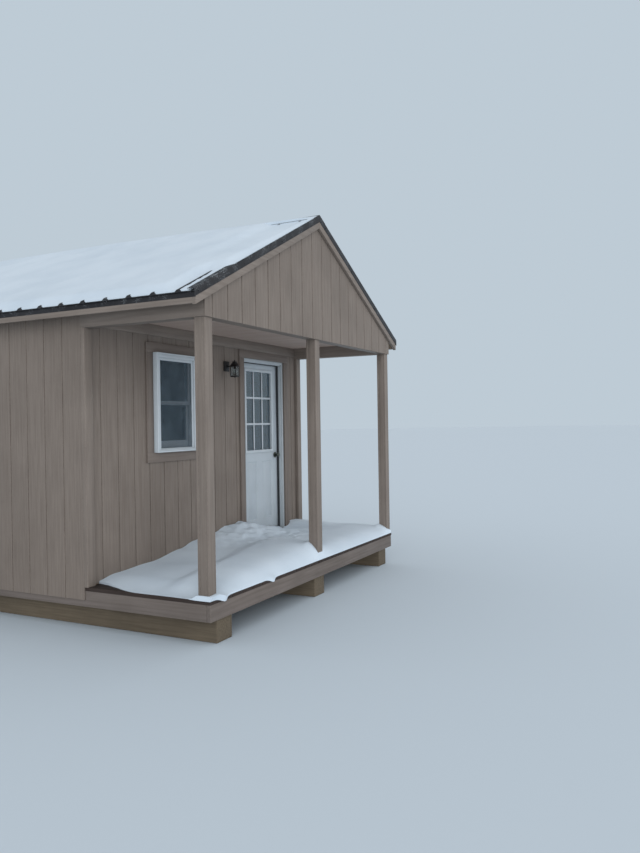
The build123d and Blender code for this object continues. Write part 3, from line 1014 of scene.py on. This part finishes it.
mill_aluminium = bare_metal("mill_aluminium", chip(170, 172, 174), metallic=1.0, roughness=0.4)
sill_low, sill_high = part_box("door_sill")
rib_pitch = 0.016
rib_groove = 0.006
rib_groove_depth = 0.0025
sill = grooved(
    "door_sill_ribbed",
    sill_low,
    sill_high,
    (0, 0, 1),
    across_y,
    sill_low.y + rib_pitch,
    rib_pitch,
    rib_groove,
    rib_groove_depth,
)
soften(sill, 0.0008)
put_up(sill, mill_aluminium, "sill_metal", "door_sill")


# Door slab: steel faces on a foam core, with two tall panels pressed into each face below the glass.
# Each panel is a shallow channel round a raised field, as the press leaves it.
def emboss(piece, low, high, facing):
    """Presses one panel, between two corners in X and Z, into the face of a slab."""
    for place, normal in (
        ((low[0], 0, 0), (1, 0, 0)),
        ((high[0], 0, 0), (1, 0, 0)),
        ((0, 0, low[1]), (0, 0, 1)),
        ((0, 0, high[1]), (0, 0, 1)),
    ):
        slice_all(piece, place, normal)

    def field(middle, normal):
        inside = low[0] < middle.x < high[0] and low[1] < middle.z < high[1]
        return inside and normal.y * facing > 0.99

    open_faces(piece, field)
    bpy.ops.mesh.dissolve_faces()
    bpy.ops.mesh.inset(thickness=0.007, depth=-0.005)
    bpy.ops.mesh.inset(thickness=0.014, depth=0.0)
    bpy.ops.mesh.inset(thickness=0.010, depth=0.004)
    close_faces()


door_paint = vinyl("door_white_paint", chip(168, 178, 186), chip(116, 122, 126), roughness=0.42)
glass_frame_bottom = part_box("door_lite_frame")[0].z
stile = 0.135
middle_stile = 0.12
bottom_rail = 0.17
middle_rail = 0.10
door_middle = (slab_low.x + slab_high.x) / 2
panel_bottom = slab_low.z + bottom_rail
panel_top = glass_frame_bottom - middle_rail
slab = clean_copy("door_slab")
for facing in (-1, 1):
    for x0, x1 in (
        (slab_low.x + stile, door_middle - middle_stile / 2),
        (door_middle + middle_stile / 2, slab_high.x - stile),
    ):
        emboss(slab, (x0, panel_bottom), (x1, panel_top), facing)
soften(slab, 0.0015)
put_up(slab, door_paint, "door_paint", "door_slab", body="door")


# Door glass: one sealed pane in a moulded white frame, with bars over both faces that make nine lights.
# The pane stands for a sealed pair of sheets, so it mirrors a little more than one sheet would.
lite_frame = dressed("door_lite_frame", 0.004, 3)
put_up(lite_frame, white_vinyl, "white_vinyl", "door_lite_frame", body="door")

door_glass = dressed("door_glass", 0.0005, 1)
sealed_glass = glass("door_pane_glass", chip(192, 222, 238), bending=1.74)
put_up(door_glass, sealed_glass, "clear_glass", "door_glass", body="door")

bar_width = 0.022
bar_depth = 0.009
bar_step = 0.0006
lights_each_way = 3
pane_low, pane_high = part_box("door_glass")
bars = []
for face_y, way in ((pane_low.y, -1), (pane_high.y, 1)):
    near = face_y + way * bar_step
    upright = sorted((near, face_y + way * bar_depth))
    cross = sorted((near, face_y + way * (bar_depth - bar_step)))
    for number in range(1, lights_each_way):
        x = pane_low.x + (pane_high.x - pane_low.x) * number / lights_each_way - bar_width / 2
        z = pane_low.z + (pane_high.z - pane_low.z) * number / lights_each_way - bar_width / 2
        bars.append(block("bar", (x, upright[0], pane_low.z), (x + bar_width, upright[1], pane_high.z)))
        bars.append(block("bar", (pane_low.x, cross[0], z), (pane_high.x, cross[1], z + bar_width)))
glass_bars = join("door_glass_bars", bars)
soften(glass_bars, 0.002)
put_up(glass_bars, white_vinyl, "white_vinyl", body="door")


# Hinges: three steel butt hinges at the door's left edge, with their leaves let in flush.
# Three countersunk screws hold each leaf, in the door or in the jamb.
def turned(name, place, way, profile, sides=32):
    """A piece turned about an axis, from (distance, radius) steps along it."""
    place = Vector(place)
    way = Vector(way).normalized()
    distance, radius = profile[0]
    bpy.ops.object.select_all(action="DESELECT")
    bpy.ops.mesh.primitive_circle_add(
        vertices=sides,
        radius=radius,
        fill_type="NGON",
        location=place + way * distance,
        rotation=way.to_track_quat("Z", "Y").to_euler(),
    )
    piece = bpy.context.object
    piece.name = name
    bpy.ops.object.transform_apply(location=True, rotation=True, scale=True)
    open_faces(piece, lambda middle, normal: True)
    for next_distance, next_radius in profile[1:]:
        bpy.ops.mesh.extrude_region_move(
            TRANSFORM_OT_translate={"value": way * (next_distance - distance), "orient_type": "GLOBAL"}
        )
        growth = next_radius / radius
        bpy.ops.transform.resize(value=(growth, growth, growth), center_override=place + way * next_distance)
        distance, radius = next_distance, next_radius
    bpy.ops.mesh.select_all(action="SELECT")
    bpy.ops.mesh.normals_make_consistent(inside=False)
    close_faces()
    bpy.ops.object.shade_smooth_by_angle(angle=math.radians(40))
    return piece


hinge_steel = bare_metal("hinge_steel", chip(150, 150, 150), metallic=1.0, roughness=0.35)
hinge_length = 0.089
screw_profile = ((-0.0015, 0.0046), (0.0002, 0.0044), (0.0005, 0.0034))
screw_places = ((0.014, 0.010), (0.0445, 0.022), (0.075, 0.010))
for node, body, screws_name, face_side in (
    ("hinge_frame_leaves", "root", "hinge_frame_screws", 1),
    ("hinge_door_leaves", "door", "hinge_door_screws", -1),
):
    leaves = dressed(node, 0.0004, 1)
    put_up(leaves, hinge_steel, "hinge_steel", node, body=body)
    low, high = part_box(node)
    face_x = jamb_left_high.x - stop if face_side > 0 else slab_low.x
    top_hinge = high.z - hinge_length
    heads = []
    for hinge_bottom in (low.z, (low.z + top_hinge) / 2, top_hinge):
        for up, inward in screw_places:
            place = (face_x, low.y + inward, hinge_bottom + up)
            heads.append(turned("screw", place, (face_side, 0, 0), screw_profile, sides=14))
    screws = join(screws_name, heads)
    put_up(screws, hinge_steel, "hinge_steel", body=body)


# Knob: a round knob on each face, turned from one piece with its neck, over a round rose.
# A plate on the door's edge and another on the jamb take the latch.
knob_low, knob_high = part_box("door_knob")
knob_x = (knob_low.x + knob_high.x) / 2
knob_z = (knob_low.z + knob_high.z) / 2
knob_profile = (
    (-0.004, 0.033), (0.003, 0.033), (0.0065, 0.031), (0.009, 0.0165), (0.012, 0.0125), (0.024, 0.0115),
    (0.029, 0.0145), (0.033, 0.0205), (0.038, 0.0252), (0.044, 0.027), (0.050, 0.0258), (0.0545, 0.0205),
    (0.0565, 0.013), (0.057, 0.005),
)
knob_metal = bare_metal("knob_metal", chip(92, 95, 90), metallic=1.0, roughness=0.34)
halves = [
    turned("knob", (knob_x, face_y, knob_z), (0, way, 0), knob_profile)
    for face_y, way in ((slab_low.y, -1), (slab_high.y, 1))
]
key_profile = ((-0.002, 0.0062), (0.0004, 0.0062), (0.0008, 0.0052))
key_plug = turned("key_plug", (knob_x, knob_low.y, knob_z), (0, -1, 0), key_profile, sides=20)
knobs = join("door_knobs", halves + [key_plug])
put_up(knobs, knob_metal, "dark_hardware", "door_knob", body="door")

plate_thickness = 0.0012
plate_half_width = 0.0125
plate_half_height = 0.0285
door_mid_y = (slab_low.y + slab_high.y) / 2
jamb_face_right = jamb_right_low.x + stop
plate_proud = 0.0003
screw_rise = 0.021
for name, body, edge_x, way in (
    ("latch_plate", "door", slab_high.x, 1),
    ("strike_plate", "root", jamb_face_right, -1),
):
    face_x = edge_x + way * plate_proud
    x0, x1 = sorted((face_x, edge_x - way * plate_thickness))
    plate = block(
        name,
        (x0, door_mid_y - plate_half_width, knob_z - plate_half_height),
        (x1, door_mid_y + plate_half_width, knob_z + plate_half_height),
    )
    soften(plate, 0.0003, 1)
    ends = [
        turned("screw", (face_x, door_mid_y, knob_z + rise), (way, 0, 0), screw_profile, sides=12)
        for rise in (-screw_rise, screw_rise)
    ]
    plate = join(name, [plate] + ends)
    put_up(plate, hinge_steel, "hinge_steel", body=body)


# Porch light: a black coach lantern on a wall plate, with a tiered roof, four corner bars and a bulb.
# Its square panes slide in between the bars, over a small base with a turned drop below it.
lantern_black = bare_metal("lantern_black", chip(40, 39, 40), metallic=0.5, roughness=0.45)
lantern_low, lantern_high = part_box("porch_light")
body_low, body_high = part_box("porch_light_glass")
lantern_x = (body_low.x + body_high.x) / 2
lantern_y = (body_low.y + body_high.y) / 2
roof_half = lantern_y - lantern_low.y
back_plate_half = (lantern_high.x - lantern_low.x) / 2
plate_middle = body_high.z + 0.3 * inch
back_plate_half_height = 2.1 * inch
back_plate_depth = 0.012
wall_plate = block(
    "wall_plate",
    (lantern_x - back_plate_half, porch_wall - back_plate_depth, plate_middle - back_plate_half_height),
    (lantern_x + back_plate_half, porch_wall, plate_middle + back_plate_half_height),
)
boss_height = 0.008
open_faces(wall_plate, lambda middle, normal: normal.y < -0.99)
bpy.ops.mesh.inset(thickness=0.014, depth=0.0)
bpy.ops.mesh.inset(thickness=0.006, depth=boss_height)
close_faces()
soften(wall_plate, 0.002)

arm_profile = (
    (0.0, 0.017), (0.004, 0.017), (0.008, 0.0065), (0.044, 0.0065), (0.050, 0.010), (0.056, 0.010),
)
let_in = 0.002
arm_root = porch_wall - back_plate_depth - boss_height + let_in
arm = turned("arm", (lantern_x, arm_root, plate_middle), (0, -1, 0), arm_profile, sides=24)

eave_thickness = 0.006
lantern_roof = block(
    "lantern_roof",
    (lantern_x - roof_half, lantern_y - roof_half, body_high.z),
    (lantern_x + roof_half, lantern_y + roof_half, body_high.z + eave_thickness),
)
open_faces(lantern_roof, lambda middle, normal: normal.z > 0.99)
finial_height = 0.012
roof_rise = lantern_high.z - body_high.z - finial_height
top = body_high.z + eave_thickness
tiers = ((0.004, 0.84), (0.36 * roof_rise, 0.74), (0.30 * roof_rise, 0.62), (0.004, 1.25), (0.005, 0.7))
for rise, growth in tiers:
    bpy.ops.mesh.extrude_region_move(TRANSFORM_OT_translate={"value": (0, 0, rise)})
    top += rise
    bpy.ops.transform.resize(value=(growth, growth, 1), center_override=(lantern_x, lantern_y, top))
close_faces()
soften(lantern_roof, 0.0012)
finial_profile = (
    (-0.004, 0.007), (0.002, 0.008), (0.006, 0.0045), (0.009, 0.0062), (0.013, 0.0055), (0.0155, 0.002),
)
finial = turned("finial", (lantern_x, lantern_y, top), (0, 0, 1), finial_profile, sides=20)

base_lip = 0.0018
base_bottom = lantern_low.z + 0.004
base_half = body_high.x - lantern_x + base_lip
base = block(
    "base",
    (lantern_x - base_half, lantern_y - base_half, base_bottom),
    (lantern_x + base_half, lantern_y + base_half, body_low.z + 0.001),
)
open_faces(base, lambda middle, normal: normal.z < -0.99)
bpy.ops.mesh.inset(thickness=0.010, depth=0.004)
close_faces()
soften(base, 0.0012)
drop_profile = ((0.0, 0.009), (0.004, 0.010), (0.008, 0.004))
drop_top = (lantern_x, lantern_y, lantern_low.z + 0.002)
drop = turned("drop", drop_top, (0, 0, -1), drop_profile, sides=20)
bar_half = 0.003
corner_bars = []
for x in (body_low.x, body_high.x):
    for y in (body_low.y, body_high.y):
        bar_low = (x - bar_half, y - bar_half, body_low.z)
        bar_high = (x + bar_half, y + bar_half, body_high.z)
        bar = block("bar", bar_low, bar_high)
        soften(bar, 0.0008, 1)
        corner_bars.append(bar)
band_width = 0.0015
for z in (body_low.z + bar_half, body_high.z - bar_half):
    band_low = (body_low.x, body_low.y - 0.001, z - bar_half)
    band_high = (body_high.x, body_low.y + 0.002, z + bar_half)
    corner_bars.append(ring("band", band_low, band_high, band_width, band_width, band_width, band_width))
lantern = join("porch_lantern", [wall_plate, arm, lantern_roof, finial, base, drop] + corner_bars)
put_up(lantern, lantern_black, "dark_hardware", "porch_light")

lantern_pane = 0.002
lantern_panes = [
    block("pane", low, high)
    for low, high in (
        (body_low, (body_high.x, body_low.y + lantern_pane, body_high.z)),
        ((body_low.x, body_high.y - lantern_pane, body_low.z), body_high),
        (
            (body_low.x, body_low.y + lantern_pane, body_low.z),
            (body_low.x + lantern_pane, body_high.y - lantern_pane, body_high.z),
        ),
        (
            (body_high.x - lantern_pane, body_low.y + lantern_pane, body_low.z),
            (body_high.x, body_high.y - lantern_pane, body_high.z),
        ),
    )
]
lantern_glass = join("porch_lantern_panes", lantern_panes)
soften(lantern_glass, 0.0003, 1)
seeded_glass = glass("seeded_glass", chip(232, 238, 240), frosting=0.28)
put_up(lantern_glass, seeded_glass, "clear_glass", "porch_light_glass")

socket_profile = ((0.0, 0.014), (0.004, 0.014), (0.006, 0.0115), (0.026, 0.0115))
socket_top = (lantern_x, lantern_y, body_high.z + 0.002)
socket = turned("socket", socket_top, (0, 0, -1), socket_profile, sides=20)
put_up(socket, lantern_black, "dark_hardware")
bulb_profile = (
    (0.0, 0.0095), (0.008, 0.0125), (0.016, 0.0185), (0.026, 0.0215), (0.036, 0.0205), (0.043, 0.0155),
    (0.047, 0.009), (0.0485, 0.002),
)
bulb_seat = 0.024
bulb_top = (lantern_x, lantern_y, body_high.z - bulb_seat)
bulb = turned("light_bulb", bulb_top, (0, 0, -1), bulb_profile, sides=24)
bulb_white = vinyl("bulb_white", chip(214, 214, 206), chip(176, 176, 168), roughness=0.3)
put_up(bulb, bulb_white, "white_vinyl")


# Trim screws: painted screws with broad washers hold the rake trims to the boards behind them.
# Four stand at even steps along each slope, on the front and on the rear.
rake_low, rake_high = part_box("rake_trim_front")
rear_rake_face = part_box("rake_trim_rear")[1].y
screw_spacing = 0.61
washer_profile = ((-0.001, 0.007), (0.0012, 0.0066), (0.0014, 0.0048), (0.0044, 0.0046), (0.005, 0.0038))
first_screw = 0.12
screw_drop = 0.62 * 2.25 * inch / math.cos(slope)
washers = []
for face_y, way in ((rake_low.y, -1), (rear_rake_face, 1)):
    for number in range(4):
        along_x = first_screw + number * screw_spacing
        z = rake_high.z - along_x * math.tan(slope) - screw_drop
        for x in (-along_x, along_x):
            washers.append(turned("washer", (x, face_y, z), (0, way, 0), washer_profile, sides=10))
trim_screws = join("rake_trim_screws", washers)
put_up(trim_screws, trim_black, "roof_metal")


# Snow: a dry blanket over both slopes of the roof, soft at its edges and thin at its front corners.
# It stops short of the eaves, where the ribs' ends stand out of it, and thins over the ridge cap in front.
def snow_material(name):
    """Packed dry snow, a little darker in broad random drifts."""
    material, tree, shader = blank_material(name)
    place = tree.nodes.new("ShaderNodeTexCoord").outputs["Object"]
    drift = mottle(tree, place, 2.2, 6.0)
    crystal = mottle(tree, place, 260.0, 2.0)
    shade = ramp(tree, drift, 0.3, 0.75)
    white = blend_colour(tree, shade, chip(193, 206, 218), chip(184, 198, 211))
    tree.links.new(white, shader.inputs["Base Color"])
    shader.inputs["Roughness"].default_value = 0.85
    shader.inputs["Specular IOR Level"].default_value = 0.25
    coarse = calculate(tree, "MULTIPLY", drift, 6.0)
    raise_relief(tree, shader, calculate(tree, "ADD", coarse, crystal), 0.25, 0.003)
    return material


def settle(piece, crease):
    """Snow laid in place: one material, and smooth but for folds sharper than crease degrees."""
    piece.data.materials.append(snow)
    alone(piece)
    bpy.ops.object.shade_smooth_by_angle(angle=math.radians(crease))
    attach(piece, "root")


def smooth(value):
    """0 below 0, 1 above 1, and an even curve between."""
    value = max(0.0, min(1.0, value))
    return value * value * (3 - 2 * value)


def blanket(name, columns, rows):
    """A closed sheet, one unit square and one thick, whose points are then laid in place."""
    bpy.ops.object.select_all(action="DESELECT")
    bpy.ops.mesh.primitive_grid_add(x_subdivisions=columns, y_subdivisions=rows, size=1)
    piece = bpy.context.object
    piece.name = name
    bpy.ops.object.transform_apply(location=True, rotation=True, scale=True)
    open_faces(piece, lambda middle, normal: True)
    bpy.ops.mesh.extrude_region_move(TRANSFORM_OT_translate={"value": (0, 0, 1)})
    close_faces()
    return piece


snow = snow_material("dry_snow")
metal_low, metal_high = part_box("roof_metal_left")
metal_sheet = 0.003
pan_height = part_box("roof_panel_left")[1].z + metal_sheet / math.cos(slope)
eave_setback = 0.012
rake_setback = 0.006
snow_side = -metal_low.x - eave_setback
snow_front = metal_low.y + rake_setback
snow_rear = metal_high.y - rake_setback
full_depth = 0.064
eave_depth = 0.013
eave_round = 0.085
rake_depth = 0.026
rake_round = 0.16
cap_depth_front = 0.028
cap_depth_rear = 0.082
cap_spread = 0.15
scour_start = 0.02
scour_end = 0.38
thin_along = 0.19
thin_across = 0.38
thin_on_right = 0.55
under_sheet = 0.0028
cap_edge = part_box("ridge_cap")[1].x
scour_reach = cap_edge - 0.001


def across_roof(spread):
    """A column's place across the roof: closer towards the eaves, with two drawn to each edge of the cap."""
    x = snow_side * math.copysign(1 - (1 - abs(spread)) ** 1.15, spread)
    if abs(abs(x) - cap_edge) < 0.021:
        return math.copysign(cap_edge - (0.0005 if abs(x) > cap_edge else 0.002), x)
    return x


def along_roof(spread):
    """A row's place along the roof: closer towards the rakes."""
    y = (snow_rear - snow_front) / 2 * math.copysign(1 - (1 - abs(spread)) ** 1.25, spread)
    return y + (snow_front + snow_rear) / 2


def slope_depth(x, y, wander):
    """The blanket's depth on a slope, in low swells, rounded off at the eave and at both rakes."""
    swell = noise.noise(Vector((x * 1.3, y * 0.9, 0.0))) + 0.4 * noise.noise(Vector((x * 5, y * 4, 7.0)))
    full = full_depth + 0.010 * swell
    from_eave = snow_side - abs(x)
    from_rake = min(y - snow_front, snow_rear - y)
    at_eave = eave_depth + (full - eave_depth) * smooth(from_eave / (eave_round + 0.03 * wander)) ** 0.8
    at_rake = rake_depth + (full - rake_depth) * smooth(from_rake / rake_round)
    return min(at_eave, at_rake)


def ridge_depth(x, y, wander, depth):
    """Thins the depth over the ridge cap, most in front, where wind has also scoured the snow beside it."""
    from_front = y - snow_front
    cap_depth = cap_depth_front + (cap_depth_rear - cap_depth_front) * smooth(from_front / 3.4) ** 0.6
    depth += (cap_depth - depth) * math.exp(-((x / cap_spread) ** 2))
    if abs(x) > scour_reach:
        scoured = smooth((from_front - scour_start) / 0.1) * (1 - smooth((from_front - scour_end) / 0.2))
        off_cap = abs(x) - cap_edge
        scoured_depth = 0.010 + 0.0105 * smooth(off_cap / 0.045) + 0.03 * off_cap + 0.001 * wander
        depth += scoured * min(0.0, scoured_depth - depth)
    return depth


def corner_depth(x, y, depth):
    """Thins the depth to nothing, along a ragged line, at the roof's front corners."""
    from_front = y - snow_front
    reach = 1.0 if x < 0 else thin_on_right
    ragged = 0.6 * noise.noise(Vector((x * 9, y * 14, 1.0)))
    ragged += 0.5 * noise.noise(Vector((x * 28, y * 30, 5.0)))
    blown = 0.019 * smooth(from_front / 0.11) - 0.005 + 0.006 * ragged
    blown += 0.06 * smooth((from_front / reach - thin_along) / 0.16)
    blown += 0.06 * smooth(((snow_side - abs(x)) / reach - thin_across) / 0.3)
    return max(-0.0015, min(depth, blown))


roof_snow = blanket("roof_snow", 170, 180)
for vertex in roof_snow.data.vertices:
    x = across_roof(2 * vertex.co.x)
    y = along_roof(2 * vertex.co.y)
    wander = noise.noise(Vector((y * 3.1, x * 0.9, 3.0)))
    depth = ridge_depth(x, y, wander, slope_depth(x, y, wander))
    pan = pan_height - math.sqrt(x * x + 0.0004) * math.tan(slope)
    if vertex.co.z > 0.5:
        vertex.co = (x, y, pan + corner_depth(x, y, depth))
    else:
        vertex.co = (x, y, pan - under_sheet)
settle(roof_snow, 50)


# Porch snow: blown in under the roof, banked along the deck's front and piled against the wall.
# It is trampled towards the door, thin along the left edge, and hangs over the rim in two small lobes.
deck_low, deck_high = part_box("porch_deck")
deck_top = deck_high.z
wall_heights = (
    (-1.83, 0.020), (-1.72, 0.032), (-1.45, 0.050), (-1.02, 0.066), (-0.58, 0.112), (-0.36, 0.158),
    (0.02, 0.200), (0.24, 0.234), (0.45, 0.246), (0.56, 0.214), (0.68, 0.186), (0.92, 0.108),
    (1.20, 0.070), (1.40, 0.048), (1.49, 0.074), (1.58, 0.120), (1.76, 0.120), (1.83, 0.100),
)
bank_heights = (
    (-1.83, 0.02), (-1.6, 0.085), (-1.2, 0.130), (-0.6, 0.146),
    (0.02, 0.180), (0.34, 0.118), (0.9, 0.112), (1.83, 0.100),
)
trough_heights = (
    (-1.83, 0.012), (-1.5, 0.05), (-1.0, 0.085), (-0.4, 0.115),
    (0.2, 0.128), (0.8, 0.115), (1.3, 0.095), (1.83, 0.095),
)


def between(steps, x):
    """A height at x, read smoothly from (x, height) steps."""
    for (x0, z0), (x1, z1) in zip(steps, steps[1:]):
        if x <= x1:
            return z0 + (z1 - z0) * smooth((x - x0) / (x1 - x0))
    return steps[-1][1]


posts = [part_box(node) for node in ("post_left", "post_middle", "post_right")]
snow_lip = 0.012
lip_round = 0.09
bank_crest = 0.38
bank_fall = 0.22
trough_end = 0.94
footprints = 0.020
against_post = 0.034


def drift_height(x, y):
    """The snow's height over the porch deck."""
    out = y - deck_low.y
    bank = between(bank_heights, x)
    trough = between(trough_heights, x)
    wall = between(wall_heights, x)
    crest = bank_crest + 0.13 * math.exp(-(((x + 0.2) / 0.6) ** 2))
    if out < crest:
        rise = (1 - math.exp(-out / lip_round)) / (1 - math.exp(-crest / lip_round))
        height = snow_lip + (bank - snow_lip) * rise
    elif out < crest + bank_fall:
        height = bank + (trough - bank) * smooth((out - crest) / bank_fall)
    else:
        height = trough + (wall - trough) * smooth((out - crest - bank_fall) / (trough_end - crest))
    trodden = smooth(1 - abs(x - 0.35) / 1.05) * smooth((out - 0.34) / 0.2)
    lumps = noise.noise(Vector((x * 9.5, y * 11.0, 2.0)))
    lumps += 0.5 * noise.noise(Vector((x * 24, y * 26, 4.0)))
    height += footprints * trodden * lumps
    height += 0.006 * noise.noise(Vector((x * 2.6, y * 3.0, 9.0)))
    edge = smooth((x - deck_low.x) / 0.34) * smooth((deck_high.x + 0.02 - x) / 0.12)
    height *= 0.16 + 0.84 * edge
    for foot_low, foot_high in posts:
        away_x = max(foot_low.x - x, x - foot_high.x, 0)
        away_y = max(foot_low.y - y, y - foot_high.y, 0)
        height += against_post * math.exp(-((away_x / 0.07) ** 2) - ((away_y / 0.045) ** 2))
    return height


lobes = ((-1.66, 0.05, 0.026), (-0.94, 0.045, 0.024))
over_rim = 0.003
corner_low, corner_high = posts[0]
porch_snow = blanket("porch_snow", 200, 80)
for vertex in porch_snow.data.vertices:
    along = vertex.co.y + 0.5
    y = deck_low.y - over_rim + (porch_wall - deck_low.y + over_rim) * along ** 1.3
    retreat = 0.15 * smooth((y + 1.75) / 0.55)
    left = deck_low.x + 0.004 + retreat + 0.006 * noise.noise(Vector((y * 9, 1.0, 1.0)))
    x = left + (deck_high.x + 0.002 - left) * (vertex.co.x + 0.5)
    near_x = max(corner_low.x - x, x - corner_high.x, 0)
    near_y = max(corner_low.y - y, y - corner_high.y, 0)
    clinging = 0.014 * math.exp(-((near_x / 0.09) ** 2) - ((near_y / 0.09) ** 2))
    x -= clinging * smooth(1 - (vertex.co.x + 0.5) / 0.02)
    hang = sum(size * math.exp(-(((x - middle) / reach) ** 2)) for middle, reach, size in lobes)
    rim = 1 - smooth((y - deck_low.y) / 0.03)
    if vertex.co.z > 0.5:
        vertex.co = (x, y - (hang * 0.9 + clinging) * rim, deck_top + drift_height(x, y) - hang * rim * 0.3)
    else:
        overhang = 1 - smooth((y - deck_low.y) / 0.004)
        vertex.co = (x, y - hang * overhang * 0.9, deck_top - 0.002 - hang * overhang)
settle(porch_snow, 60)

beside_seal = 0.003
under_porch_snow = 0.01
door_snow = blanket("doorway_snow", 60, 8)
door_snow_front = porch_wall - under_porch_snow
door_snow_rear = slab_low.y - 0.011
door_snow_left = jamb_left_high.x + seal_thickness + beside_seal
door_snow_right = jamb_right_low.x - seal_thickness - beside_seal
for vertex in door_snow.data.vertices:
    x = door_snow_left + (door_snow_right - door_snow_left) * (vertex.co.x + 0.5)
    y = door_snow_front + (door_snow_rear - door_snow_front) * (vertex.co.y + 0.5)
    if vertex.co.z > 0.5:
        slump = 0.35 * (y - porch_wall) * smooth((x - 0.6) / 0.2)
        vertex.co = (x, y, deck_top + drift_height(x, porch_wall) + slump)
    else:
        vertex.co = (x, y, sill_high.z - 0.001)
settle(door_snow, 60)


# Stage: a plain pale floor that runs out of sight, a pale sky, and very soft lights from afar.
# One of them comes up from below, as a snowfield sends light back, so the floor lets light through.
bpy.ops.object.select_all(action="DESELECT")
bpy.ops.mesh.primitive_plane_add(size=400, location=(0, 0, -0.001))
floor = bpy.context.object
floor.name = "stage_floor"
floor_material, _, floor_shader = blank_material("stage_floor")
floor_shader.inputs["Base Color"].default_value = chip(187, 200, 211)
floor_shader.inputs["Roughness"].default_value = 0.9
floor.data.materials.append(floor_material)
floor.visible_shadow = False

world = bpy.data.worlds.new("studio")
bpy.context.scene.world = world
world.use_nodes = True
sky = world.node_tree
background = sky.nodes["Background"]
paths = sky.nodes.new("ShaderNodeLightPath")
mirrored = calculate(sky, "MAXIMUM", paths.outputs["Is Camera Ray"], paths.outputs["Is Glossy Ray"])
seen = calculate(sky, "MAXIMUM", mirrored, paths.outputs["Is Transmission Ray"])
tint = blend_colour(sky, seen, (0.98, 0.99, 1.0, 1), chip(203, 217, 228))
sky.links.new(tint, background.inputs["Color"])
background.inputs["Strength"].default_value = 0.86

aim = Vector((0, 0, 1.4))
light_spread = math.radians(48)
for name, place, strength in (
    ("key_light", (-21.0, -12.5, 8.0), 1.0),
    ("fill_light", (9.0, -23.0, 5.5), 0.72),
    ("snowfield_light", (-17.0, -16.0, -9.0), 0.68),
):
    bpy.ops.object.light_add(type="SUN", location=place)
    lamp = bpy.context.object
    lamp.name = name
    lamp.data.angle = light_spread
    lamp.data.energy = strength
    lamp.visible_transmission = False
    lamp.rotation_euler = (aim - Vector(place)).to_track_quat("-Z", "Y").to_euler()

bpy.context.scene.view_settings.view_transform = "Standard"
bpy.context.view_layer.update()
